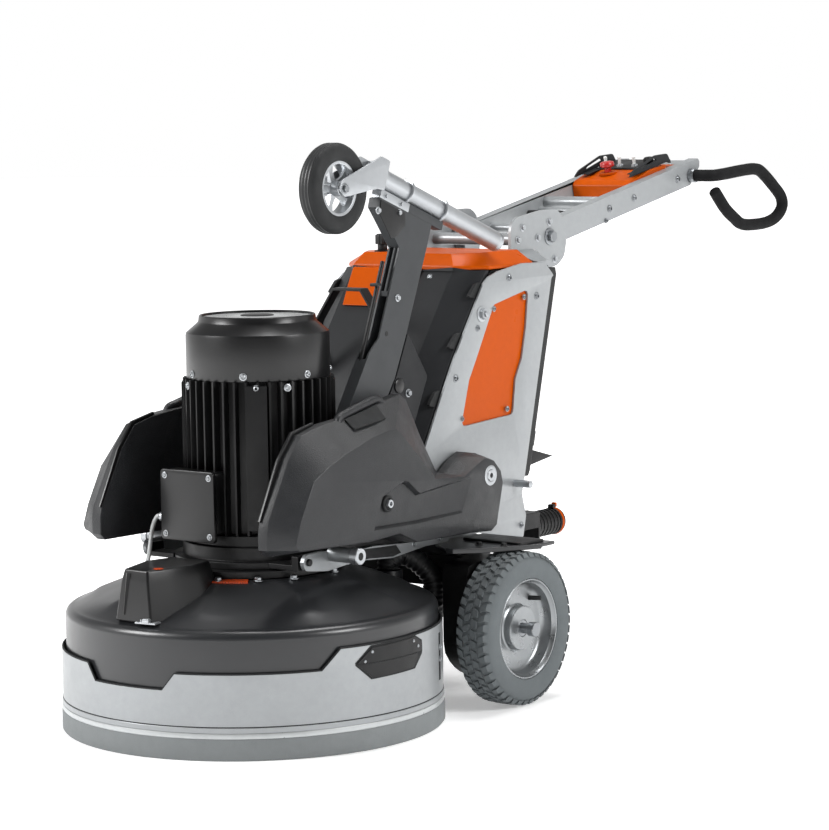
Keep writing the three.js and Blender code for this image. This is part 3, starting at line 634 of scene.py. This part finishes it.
# ---- weight wings --------------------------------------------------------
wing_in = [(-235, 428), (-250, 442), (-250, 480), (-244, 505), (-172, 632), (-129, 680), (-60, 696),
           (55, 707), (140, 726), (229, 740), (252, 728), (306, 636), (366, 547), (400, 540), (440, 566),
           (480, 582), (525, 575), (556, 545), (562, 510), (535, 408), (505, 396), (425, 399), (214, 404),
           (150, 431), (43, 425)]
wing_out = [(-206, 438), (-216, 443), (-222, 455), (-204, 502), (-156, 587), (-96, 616), (-42, 636),
            (58, 664), (110, 672), (144, 674), (175, 650), (221, 609), (290, 545), (400, 538), (450, 560),
            (485, 572), (520, 562), (548, 535), (556, 505), (529, 408), (508, 396), (425, 401), (214, 406),
            (150, 433), (43, 428)]


def inset(ring, d):
    area = sum(a[0] * b[1] - b[0] * a[1] for a, b in zip(ring, ring[1:] + ring[:1]))
    out = []
    for i, p in enumerate(ring):
        e1 = (Vector(p) - Vector(ring[i - 1])).normalized()
        e2 = (Vector(ring[(i + 1) % len(ring)]) - Vector(p)).normalized()
        n1, n2 = Vector((-e1.y, e1.x)), Vector((-e2.y, e2.x))
        m = (n1 + n2) / max(0.5, 1 + n1.dot(n2)) * (1 if area > 0 else -1)
        out.append((p[0] + m.x * d, p[1] + m.y * d))
    return out


def casting():
    """Wing with a square inner band, sloped facets and a sunken panel that runs out towards the pivot."""
    hole = [(54, 453), (87, 526), (168, 552), (183, 549), (226, 518), (300, 525), (421, 536), (428, 528),
            (388, 453), (220, 449)]
    sides = [(230.5, inset(wing_in, 1.5)), (232, wing_in), (256, wing_in), (258, inset(wing_in, 1)),
             (309.5, wing_out), (312.5, inset(wing_out, 1.6)), (314, inset(wing_out, 4.5))]
    vs, fs = loft([[(x, y, z) for y, z in ring] for x, ring in sides])
    fs.pop()
    n, base = len(wing_in), len(vs)
    rim = [vs[-n + i] for i in range(n)]
    rings = []
    for d, deep in ((0, 0), (2.5, 0.25), (6, 1)):
        ring = inset(hole, d)
        rings.append(list(range(len(vs), len(vs) + len(ring))))
        vs += [Vector((314 - deep * 12 * max(0.04, min(1, (430 - y) / 210)), y, z)) for y, z in ring]
    for a, b in zip(rings, rings[1:]):
        fs += [(a[k], a[(k + 1) % len(a)], b[(k + 1) % len(b)], b[k]) for k in range(len(a))]
    flat = [Vector((v[1], v[2], 0)) for v in rim]
    hole3 = [Vector((y, z, 0)) for y, z in hole]
    index = list(range(base - n, base)) + rings[0]
    fs += [tuple(index[k] for k in t) for t in tessellate_polygon([flat, hole3])]
    fs.append(tuple(rings[-1]))
    return vs, fs


core = casting()
strip = prism("x", [(-250, 505), (-186, 630), (-136, 688), (-62, 703), (-60, 696), (-129, 680), (-172, 632),
                    (-243, 503)], 231, 238, ch=1)
# Painted shade: a black plate in the rubber colour, laid where the slot beneath the handle bar lies dark in
# shade.
slot_shade_plate = loft([[(262, 20, 700), (262, 135, 720), (290, 132, 694), (290, 20, 681)],
                  [(263, 20, 703.5), (263, 135, 724), (291, 132, 697), (291, 20, 684)]])
handle_bar = sweep(smooth_path([(254, 4, 690), (252, 14, 706), (250, 40, 713), (250, 110, 729),
    (250, 152, 736), (252, 172, 722)], 4), 9.5, 12)
ring_l = lathe([(14.4, 312.5), (24, 312.5), (24, 314), (22, 315), (16, 315), (14.4, 314.4)], "x", WING_PIN,
               40)
boss = lathe([(0, 300), (19, 300), (19, 307.5), (17, 309), (13, 309), (12, 306), (0, 306)], "x",
             (0, 116, 506), 36)
for side in ("left", "right"):
    f = on_side(side)
    make(f"wing_{side}_casting", f"wing_{side}", [("cast", f(core))], [f"wing_{side}"], angle=28)
    make(f"wing_{side}_fittings", f"wing_{side}",
         [("zinc", f(ring_l, *bolt((305, 116, 506), (1, 0, 0), 10, "socket", False))),
          ("rubber", f(boss, slot_shade_plate)), ("gloss_black", f(strip)), ("cast", f(handle_bar))])

# ---- chassis -------------------------------------------------------------
plate = rounded([(345, 395), (358, 577), (461, 752), (492, 801), (614, 971), (635, 985), (673, 996),
                 (776, 1010), (872, 1008), (911, 974), (901, 968), (774, 481), (764, 449), (780, 393),
                 (767, 341), (622, 366), (585, 374.6), (345, 374.6)], 6, 4)
window = rounded([(655, 917), (800, 946), (789, 857), (770, 780), (742, 732), (729, 647), (515, 636),
                  (550, 745), (581, 794)], 14, 5)
face_bolts = [(718, 978, 7), (834, 927, 7), (495, 753, 7), (782, 928, 5), (655, 907, 5), (705, 662, 5),
              (519, 655, 5), (586, 865, 6), (758, 372, 6)]
for side in ("left", "right"):
    f = on_side(side)
    pin = [lathe([(0, 217), (14, 217), (14, 314.6), (12.6, 316), (6, 316), (5.6, 312), (0, 312)], "x",
                 WING_PIN, 36)]
    peg = [rod("x", 9, 217, 270, (0, 733, 478), 1.5)]
    stud = bolt((221.8, 603, 898), (1, 0, 0), 13, "hex") + [rod("x", 7, 220, 240, (0, 603, 898))]
    heads = [b for y, z, r in face_bolts for b in bolt((221.8, y, z), (1, 0, 0), r, "dome")]
    make(f"plate_{side}", "chassis", [("silver", f(prism("x", plate, 216, 222, [window], ch=1.0))),
        ("zinc", f(*pin, *peg, *stud)), ("steel", f(*heads))], [f"side_plate_{side}"], angle=30)
    shaped(f"window_panel_{side}", "orange", 0.8)
    arm_bolts = [b for y in (60, 300, 400) for b in bolt((238, y, 386), (1, 0, 0), 5, "socket")]
    shaped(f"chassis_arm_{side}", "plate_zinc", 1.0)
    collar = lathe([(8.6, 300), (17, 300), (19, 302), (19, 318.5), (17.5, 320.4), (9, 320.4), (8.6, 317)],
                   "x", ARM_PEG, 36)
    # Painted shade: a black plate in the rubber colour, laid on the arm where its pocket lies dark in
    # shade.
    pocket_shade_plate = prism("x", [(112, 374), (108, 398), (232, 392), (250, 372), (220, 367), (130, 374)], 229,
                   239.4, ch=1)
    hexs = lathe([(0, 314), (10, 314), (10, 320.2), (0, 320.2)], "x", ARM_PEG, 6)
    make(f"peg_fittings_{side}", "chassis", [("zinc", f(collar, *arm_bolts)), ("rubber", f(hexs, pocket_shade_plate))])
shaped("front_cover", "sheet", 1.6)
shaped("cabinet", "black", 1.2)
shaped("stow_bracket", "sheet", 1.5)
shaped("jockey_post", "black", 1.5)
shaped("hoop", "black", 1.5)
shaped("axle_housing", "black", 2.5)
shaped("fender_deck", "charcoal", 1.8)
shaped("power_inlet", "black", 1.5)
shaped("handle_mount", "silver", 1.2)


def edge_y(z):
    """The side plates' front edge at a height."""
    return interpolate([(395, 345), (577, 358), (752, 461), (801, 492), (971, 614), (1000, 640)], z, 640)


notch = [prism("x", rounded([(edge_y(z) - 2, z), (edge_y(z) - 26, z + 6), (edge_y(z + 40) - 26, z + 34),
    (edge_y(z + 40) - 2, z + 40)], 4, 3), 205, 214.6, ch=1.5) for z in (690, 820, 935)]
notch_r = flip(*notch)
cover_bolts = [b for p in ((205, 331, 732), (205, 311, 697)) for b in bolt(p, (1, 0, 0), 7, "hex")]
dial = [lathe([(0, 203), (17, 203), (17, 208), (14, 210), (0, 210)], "x", (0, 296, 752), 36)]
screws = [b for p in ((90, edge_y(985) - 50, 985), (-60, edge_y(520) - 50, 520),
                      (90, edge_y(520) - 50, 520)) for b in bolt(p, (0, -1, 0.5), 5, "dome")]
make("cover_details", "chassis", [("rubber", notch + notch_r), ("steel", cover_bolts + screws),
    ("gloss_black", dial)])

hood_rings = [(1001, 214, 150, 588, 834), (1010, 213, 150, 588, 834), (1034, 176, 135, 603, 834),
              (1040, 168, 131, 607, 834)]
hood_body = loft([[(-s, b, z), (-s, f_ + 62, z), (-c, f_, z), (c, f_, z), (s, f_ + 62, z), (s, b, z)] for z,
                  s, c, f_, b in hood_rings])
tab = loft([[(x, edge_y(z) - 50.5 - (7 if k < 2 else 0), z) for k, x in enumerate((left, 60, 60, left))]
            for z, left in ((915, -132), (971, -142), (1004, -148))])
boss_ring = lathe([(0, 1038), (20, 1038), (20, 1042), (18, 1043), (0, 1043)], centre=FILLER, seg=36)
tab_bolt = bolt((30, edge_y(978) - 57, 978), (0, -1, 0.55), 6, "dome")
make("hood_shell", "chassis", [("orange", [hood_body, tab])], ["hood"], bevel=3.5)
corner = loft([[(40, 586, 999), (151, 586, 999), (151, 587, 1008), (148, 587, 1008)],
               [(40, 588.6, 999), (150, 590, 999), (150, 593, 1008), (147, 593, 1008)]])
wedge = loft([[(150, 585.5, 998), (216, 650, 990), (216, 650, 992), (151.5, 589, 1008)],
              [(147, 590, 998), (212, 653, 990), (212, 653, 992), (148, 593, 1008)]])
make("hood_corners", "chassis", [("sheet", [corner, wedge] + flip(corner, wedge))])
make("hood_details", "chassis", [("zinc", tab_bolt), ("black", [boss_ring])])
knurl = prism("z", [(r * cos(2 * pi * i / 48), r * sin(2 * pi * i / 48)) for i,
                    r in ((i, 17.6 if i % 4 < 2 else 16.2) for i in range(48))], 1058, 1081, ch=1.5)
make("filler", "filler", [("black", place(shift(FILLER), knurl, rod("z", 12, 1043.4, 1060),
    rod("z", 14, 1080, 1083)))], ["filler_cap"])

hinge_bolts = [b for y, z in ((1017, 1100), (966, 1062), (1040, 1006), (900, 1090), (880, 1060))
               for b in bolt((137, y, z), (1, 0, 0), 7, "hex")]
deck_box = [prism("z", rounded([(250, 470), (420, 470), (432, 556), (250, 556)], 12), 373, 380, ch=2),
            *bolt((330, 430, 374), (0, 0, 1), 7, "hex"), *bolt((390, 446, 374), (0, 0, 1), 7, "hex")]
make("hinge_fittings", "chassis", [("zinc", hinge_bolts + flip(*hinge_bolts)),
    ("black", deck_box + flip(*deck_box))])

# Rear door with its latch, hook and hinges, and the dust inlet.
shaped("rear_door", "black", 2.0)
shaped("door_latch", "gloss_black", 1.5)


DOOR_LEAN = 0.261                # how far the rear door leans back for each unit of height


def door_y(z):
    """The door's inner face at a height."""
    return 774 + DOOR_LEAN * (z - 481)


vents = [prism("x", [(door_y(z) + 43, z), (door_y(z) + 46.5, z + 2), (door_y(z + 8) + 46.5, z + 8),
                     (door_y(z + 10) + 43, z + 10)], -130, 130, ch=0.6) for z in range(620, 860, 22)]
hinges = [place(shift((-204, door_y(z) + 44, z)) @ Matrix.Rotation(-math.atan(DOOR_LEAN), 4, "X"),
                rod("z", 5, -30, 30))[0] for z in (560, 739, 918)]
door_bolts = [b for x in (-190, 190) for z in (520, 960) for b in bolt((x, door_y(z) + 44, z),
    (0, 0.97, -0.25), 5, "dome")]
hook = [prism("x", [(door_y(500) + 43, 500), (962, 519), (door_y(552) + 43, 552)], 150, 180, ch=1.5)]
make("door_details", "door", [("black", vents + hook), ("steel", door_bolts)])
make("door_hinges", "chassis", [("steel", hinges)])
cap_body = lathe([(0, 979), (33, 979), (33.8, 981), (33.8, 996), (32, 1000), (0, 1000)], "y", INLET, 48)
cap_ring = lathe([(34, 984), (35, 985), (35, 991), (34, 992)], "y", INLET, 48)
make("cap_cover", "cap", [("black", [cap_body, box(150, 166, 979, 990, 378, 392, 2)]),
                          ("orange", [cap_ring, box(152, 164, 992, 999, 384, 396, 2)])], ["inlet_cap"],
                          angle=30)
ribs = [lathe([(31, y), (33.4, y + 1), (33.4, y + 5), (31, y + 6)], "y", INLET, 40)
        for y in (890, 905, 920, 935, 950, 965)]
make("inlet_details", "chassis", [("black", ribs),
    ("steel", [b for x in (124, 192) for b in bolt((x, 862, 322), (0, 1, 0), 5, "socket")])])

# ---- jockey wheel --------------------------------------------------------
# The tube's own frame: its upper end at the origin, y along the tube.
TUBE = shift((194, 250, 1230)) @ turn(-19.92, "X")
shaped("jockey_arm", "arm_grey", 1.6)
arm_bolts = [b for p in ((210, 222, 1158), (210, 300, 1150), (210, 290, 955))
             for b in bolt(p, (1, 0, 0), 6, "hex")]
pivot = bolt((210, 60, 545), (1, 0, 0), 13, "hex")
gusset = prism("x", [(226, 1150), (232, 1182), (322, 1148), (322, 1120), (290, 1096), (268, 1092)], 209,
               212, ch=0.8)
hole_plug = lathe([(0, 209), (6, 209), (6, 210.4), (0, 210.4)], "x", (0, 246, 876), 24)
front_rods = [sweep([Vector((190, 172, 812)), Vector((190, 262, 1040))], 5, 12),
              box(183, 205, 222, 236, 985, 992, 1)]
make("arm_details", "arm", [("zinc", arm_bolts + pivot), ("black", [gusset, hole_plug, *front_rods])])
clamp_rings = [lathe([(24.3, a + 6), (28.4, a + 6), (30, a + 7.5), (30, a + 12.5), (28.4, a + 14),
                      (24.3, a + 14)], "y", seg=48) for a in (88, 227)]
saddle = [box(-13, 13, 0, 112, -45.8, -24.4, 1.5)]
saddle_rear = [box(-13, 13, 112.2, 249, -45.8, -24.4, 1.5)]
clamp_bolts = [b for y in (20, 80) for b in bolt((13, y, -36), (1, 0, 0), 5, "hex")]
make("clamp", "arm", [("zinc", place(TUBE, *clamp_rings, *saddle, *clamp_bolts)),
                      ("arm_grey", place(TUBE, *saddle_rear))], ["jockey_clamp"], angle=30)
tube = [lathe([(20, 0), (23.4, 0), (24, 1), (24, 470), (23.2, 471.4), (24, 473), (24, 484), (20, 487),
               (0, 487), (0, 481), (20, 481)], "y", seg=56)]
make("tube", "tube", [("zinc", place(TUBE, *tube))], ["jockey_tube"], angle=30)
fork_edge = rounded([(-172, -84), (-166, -58), (-46, 37), (-12, 37), (-12, -33), (-40, -38), (-146, -92)],
                    9, 5)
fork_plate = prism("x", fork_edge, 28, 32, ch=0.8)
fork = [fork_plate, *flip(fork_plate), box(-31.5, 31.5, -18, -12.4, -32, 36, 1),
        lathe([(0, -14), (29, -14), (30, -13), (30, -2), (29, -1), (19.6, -1), (19.6, 60), (0, 60)], "y",
              seg=48), rod("x", 8, -34, 34, JOCKEY_AXLE)]
fork_bolts = bolt((31.5, -154, -75), (1, 0, 0), 9, "hex") + bolt((-31.5, -154, -75), (-1, 0, 0), 9, "hex")
make("fork", "fork", [("zinc", place(TUBE, *fork)), ("steel", place(TUBE, *fork_bolts))], ["jockey_fork"],
     angle=30)
jt = lathe([(61.7, -19), (70, -23.5), (76, -25), (88, -25), (94, -22.5), (99.5, -16), (101.9, -9), (102, 0),
            (101.9, 9), (99.5, 16), (94, 22.5), (88, 25), (76, 25), (70, 23.5), (61.7, 19)], "x",
            JOCKEY_AXLE, 72)
grooves = [lathe([(100, x - 1.6), (102, x - 1.4), (102, x + 1.4), (100, x + 1.6)], "x", JOCKEY_AXLE, 72)
           for x in (-9, 0, 9)]
make("jockey_wheel_tyre", "jockey_wheel", [("rubber", place(TUBE, jt)), ("hose", place(TUBE, *grooves))],
     ["jockey_tyre"], angle=40)
hub = [lathe([(8.4, -27), (16, -27), (17, -26), (17, -6), (20, -4), (17, 4), (17, 26), (16, 27), (8.4, 27)],
             "x", JOCKEY_AXLE, 40)]
jr = [lathe([(52, -5), (55, -18), (58, -19), (61.6, -19), (61.6, 19), (58, 19), (55, 18), (52, 5)], "x",
            JOCKEY_AXLE, 60)]
spokes = [p for k in range(5)
          for p in place(shift(JOCKEY_AXLE) @ Matrix.Rotation(2 * pi * (k + 0.5) / 5, 4,
              "X") @ shift((0, 0, 34)),
              loft([[(-5, -9, -18), (5, -9, -18), (5, 9, -18), (-5, 9, -18)],
                    [(-3, -6, 2), (3, -6, 2), (3, 6, 2), (-3, 6, 2)],
                    [(-4.5, -10, 20), (4.5, -10, 20), (4.5, 10, 20), (-4.5, 10, 20)]]))]
make("jockey_wheel_rim", "jockey_wheel", [("zinc", place(TUBE, *hub, *jr, *spokes))], ["jockey_rim"],
     angle=30)

# ---- drive wheels --------------------------------------------------------
tyre = lathe([(118, 356), (124, 353), (136, 351), (150, 351), (161, 353.4), (167, 357), (172.5, 362),
              (175.3, 372), (175.8, 398), (175.3, 424), (172.5, 434), (167, 439), (161, 442.6), (150, 445),
              (136, 445), (124, 443), (118, 440)], "x", WHEEL, 96)
blocks = []
for k in range(46):
    for row, (x0, x1, sh) in enumerate(((360, 377, 0), (380, 396, 0.5), (400, 416, 0), (419, 436, 0.5))):
        m = shift(WHEEL) @ Matrix.Rotation(2 * pi * (k + sh) / 46, 4, "X")
        lo, hi = (6 if row == 0 else 0), (6 if row == 3 else 0)
        r1 = 179.6 if row in (1, 2) else 178.4
        skew = 3 if row % 2 else -3
        blocks += place(m, loft([[(x0 - lo, -9 - skew, 168), (x1 + hi, -9 + skew, 168),
                                  (x1 + hi, 9 + skew, 168), (x0 - lo, 9 - skew, 168)],
                                  [(x0 + 1, -7.4 - skew, r1), (x1 - 1, -7.4 + skew, r1),
                                   (x1 - 1, 7.4 + skew, r1), (x0 + 1, 7.4 - skew, r1)]]))
rim = lathe([(20.4, 353), (34, 353), (34, 391), (42, 393), (100, 393), (107, 388), (108, 359.5),
             (117.5, 359.5), (117.8, 438), (116, 439.6), (113.5, 439.2), (111, 434), (107, 430),
             (104.5, 412), (100, 406), (94, 403), (57, 402.5), (53, 405), (52, 408), (52, 421), (50.4, 423),
             (20.4, 423)], "x", WHEEL, 84)
valve = place(shift((405, 528, 242)) @ turn(24, "Z"), rod("x", 5.5, -4, 26, seg=20))
knob = lathe([(0, 419.4), (19.8, 419.4), (19.8, 421.6), (18.8, 422.4), (12, 422.4), (12, 441), (15, 442),
              (16.6, 443.6), (17, 446), (17, 459), (15.6, 461), (0, 461)], "x", WHEEL, 40)
for side in ("left", "right"):
    f = on_side(side)
    make(f"tyre_{side}_rubber", f"wheel_{side}", [("tyre", f(tyre, *blocks))], [f"tyre_{side}"], angle=30)
    make(f"rim_{side}", f"wheel_{side}", [("wheel_zinc", f(rim)), ("rubber", f(*valve))],
         [f"wheel_rim_{side}"], angle=30)
    make(f"knob_{side}_turned", f"knob_{side}", [("steel", f(knob))], [f"release_knob_{side}"], angle=30)

# ---- handle --------------------------------------------------------------
# The handle's own frame: its hinge at the origin, y along the beams.
H = shift((0, 1018, 1063)) @ turn(11.24, "X")
shaped("handle_frame", "silver", 2.2)
shaped("control_box", "orange", 2.0)
shaped("control_guard", "sheet", 0.9)
rods = [rod("x", 15.2, -94.8, 94.8, (0, 334, 8), seg=40), rod("x", 10, -94.8, 94.8, (0, 300, -8), seg=32)]
dark_tube = [rod("x", 12, -94.8, 94.8, (0, 250, -6), seg=32)]
end_caps = [p for s in (95, -125)
            for p in [prism("x", rounded([(696, -26), (752, 10), (755.4, 21), (750, 30), (696, 30)], 3, 3),
                            s + 1.5, s + 28.5, ch=1)]]
under = [box(-96, 96, 470, 636, -30, -12.4, 3)]
beam_bolts = [b for y, z in ((300, 0), (420, 0), (640, 0)) for b in bolt((125, y, z), (1, 0, 0), 7, "dome")]
pivot_nut = bolt((137, 0, 0), (1, 0, 0), 15, "hex")
bump = bolt((125, 276, -26), (1, 0, 0), 5, "socket")
collar = [rod("x", 20, 125, 141, (0, 680, -10), seg=36)]
black_parts = place(H, *dark_tube, *end_caps, *under)
fasteners = place(H, *beam_bolts, *bump, *pivot_nut)
make("handle_tubes", "handle", [("silver", place(H, *rods)), ("black", black_parts),
    ("steel", fasteners + flip(*fasteners))])
plate_top = [prism("z", rounded([(-82, 563), (82, 563), (82, 668), (-82, 668)], 6), 46.9, 48.2, ch=0.6)]
tips = [b for x in (-76, 76) for y in (570, 660) for b in bolt((x, y, 47), (0, 0, 1), 3, "dome", False)]
estop_base = [lathe([(10, 40), (24, 40), (24, 44.6), (21, 45.2), (10, 45.2)], centre=STOP, seg=48)]
make("panel_details", "handle", [("black", place(H, *plate_top)), ("zinc", place(H, *tips)),
    ("orange", place(H, *estop_base))])
stop_head = [lathe([(0, 45.4), (9, 45.4), (9, 58.5), (17, 59.6), (19, 61.5), (19, 68.6), (17.6, 71.2),
                    (13, 72.8), (0, 73)], centre=STOP, seg=48)]
make("stop_button", "stop", [("red", place(H, *stop_head))], ["emergency_stop"], angle=30)
for k, x in enumerate((-62, -18, 28)):
    stem = [lathe([(0, 51), (4, 51), (4.2, 66), (5, 70), (4.8, 73.4), (3, 74.4), (0, 74.5)],
                  centre=(x, 588, 0), seg=28)]
    nut = [lathe([(0, 48.2), (10, 48.2), (10, 51.6), (9, 52.5), (0, 52.5)], centre=(x, 588, 0), seg=6),
           lathe([(0, 52), (6, 52), (5.4, 55), (0, 55)], centre=(x, 588, 0), seg=24)]
    make(f"lever_{k + 1}", f"switch_{k + 1}", [("white", place(H, *stem)), ("zinc", place(H, *nut))],
         [f"toggle_{k + 1}"], angle=30)
dial_k = prism("z", [(r * cos(2 * pi * i / 40), r * sin(2 * pi * i / 40)) for i,
                     r in ((i, 13.8 if i % 4 < 2 else 12.8) for i in range(40))], 48.4, 62, ch=1)
make("speed_dial", "speed", [("black", place(H @ shift((52, 622, 0)), dial_k, rod("z", 11, 61, 64.4))),
    ("white", place(H @ shift((52, 622, 0)), box(-0.8, 0.8, 4, 12, 62, 62.6, 0.2)))], ["speed_knob"],
    angle=30)
grip_path = smooth_path([(127, 1712, 1196), (165, 1712, 1196), (192, 1722, 1196), (200, 1760, 1199),
                         (200, 1868, 1207), (200, 1925, 1208), (200, 1962, 1198), (200, 2030, 1156),
                         (200, 2066, 1128), (200, 2072, 1100), (200, 2040, 1074), (200, 1985, 1060),
                         (200, 1900, 1057), (200, 1850, 1062), (200, 1815, 1078), (200, 1767, 1106),
                         (200, 1713, 1153)], 6)
radii = [16.0 - 0.25 * (k % 6 == 0) for k in range(len(grip_path))]
make("grip", "handle", [("foam", [sweep(grip_path, radii, 28)]),
                        ("steel", [rod("x", 19, 126, 142, (0, 1712, 1196))])], ["loop_grip"], angle=40)

# ---- hose ----------------------------------------------------------------
hose_path = smooth_path([(140, 330, 317), (141, 332, 332), (155, 362, 348), (180, 396, 325),
                         (201, 418, 290), (203, 423, 255), (196, 432, 222), (170, 480, 205),
                         (105, 600, 200), (70, 700, 205), (60, 770, 240), (60, 786, 300)], 12)
fine = [hose_path[0]]
for a, b in zip(hose_path, hose_path[1:]):
    m = max(1, int((b - a).length / 2.6))
    fine += [a.lerp(b, (k + 1) / m) for k in range(m)]
ridges = [26.9 - 3.0 * (0.5 - 0.5 * cos(2 * pi * k / 4)) for k in range(len(fine))]
hose = make("dust_hose_ribbed", None, [("hose", [sweep(fine, ridges, 28)])], ["dust_hose"], angle=60)
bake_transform(hose)

# ---- stage ---------------------------------------------------------------
bpy.ops.mesh.primitive_plane_add(size=80, location=(0, 0, -0.0005))
floor = bpy.context.object
floor.name = "floor"
fm = bpy.data.materials.new("floor")
fm.use_nodes = True
fb = fm.node_tree.nodes["Principled BSDF"]
fb.inputs["Base Color"].default_value = (0.9, 0.9, 0.9, 1)
fb.inputs["Roughness"].default_value = 0.6
fb.inputs["Specular IOR Level"].default_value = 0.15
# Painted light: the floor glows white, its emission rising from 0.3 within 1.1 m of the middle to 1.0
# beyond 2.6 m, so that the far floor looks lit.
fb.inputs["Emission Color"].default_value = (1, 1, 1, 1)
fn, fl = fm.node_tree.nodes, fm.node_tree.links.new
reach = fn.new("ShaderNodeVectorMath")
reach.operation = "LENGTH"
floor_glow = fn.new("ShaderNodeMapRange")
floor_glow.inputs["From Min"].default_value, floor_glow.inputs["From Max"].default_value = 1.1, 2.6
floor_glow.inputs["To Min"].default_value, floor_glow.inputs["To Max"].default_value = 0.3, 1.0
fl(fn.new("ShaderNodeNewGeometry").outputs["Position"], reach.inputs[0])
fl(reach.outputs["Value"], floor_glow.inputs["Value"])
fl(floor_glow.outputs["Result"], fb.inputs["Emission Strength"])
floor.data.materials.append(fm)

world = bpy.data.worlds.new("world")
scene.world = world
world.use_nodes = True
wn, wl = world.node_tree.nodes, world.node_tree.links.new
back = wn["Background"]
back.inputs["Strength"].default_value = 1.0
tc = wn.new("ShaderNodeTexCoord").outputs["Generated"]


def world_ramp(direction, stops):
    """Brightness of the studio by direction, so that metal has something to reflect."""
    dot = wn.new("ShaderNodeVectorMath")
    dot.operation = "DOT_PRODUCT"
    dot.inputs[1].default_value = Vector(direction).normalized()
    wl(tc, dot.inputs[0])
    ramp = wn.new("ShaderNodeValToRGB")
    ramp.color_ramp.interpolation = "EASE"
    for k, (place_, v) in enumerate(stops):
        e = ramp.color_ramp.elements[k] if k < 2 else ramp.color_ramp.elements.new(place_)
        e.position, e.color = place_, (v, v, v, 1)
    wl(dot.outputs["Value"], ramp.inputs["Fac"])
    return ramp.outputs["Color"]


both_ramps = wn.new("ShaderNodeMix")
both_ramps.data_type, both_ramps.blend_type = "RGBA", "MULTIPLY"
both_ramps.inputs["Factor"].default_value = 1
wl(world_ramp((0.588, -0.79, 0.05), ((0.3, 1), (0.85, 0.25))), rgba(both_ramps.inputs, "A"))
wl(world_ramp((0, 0, 1), ((0.16, 1), (0.42, 0.28))), rgba(both_ramps.inputs, "B"))
wl(rgba(both_ramps.outputs, "Result"), back.inputs["Color"])


def area(name, loc, target, size, power):
    """Square studio light of that size in metres and power in watts, facing its target."""
    light = bpy.data.lights.new(name, "AREA")
    light.shape, light.size, light.energy = "SQUARE", size, power
    o = bpy.data.objects.new(name, light)
    o.location = Vector(loc)
    o.rotation_euler = (Vector(target) - o.location).to_track_quat("-Z", "Y").to_euler()
    scene.collection.objects.link(o)


area("key", (-3.3, -4.8, 3.8), (0, -0.4, 0.4), 2.4, 330)
area("side", (5.0, 0.2, 3.4), (0, 0, 0.6), 2.0, 190)
area("top", (0, 0.9, 5.5), (0, 0, 0), 2.6, 190)
scene.view_settings.view_transform = "Standard"
scene.view_settings.look = "None"
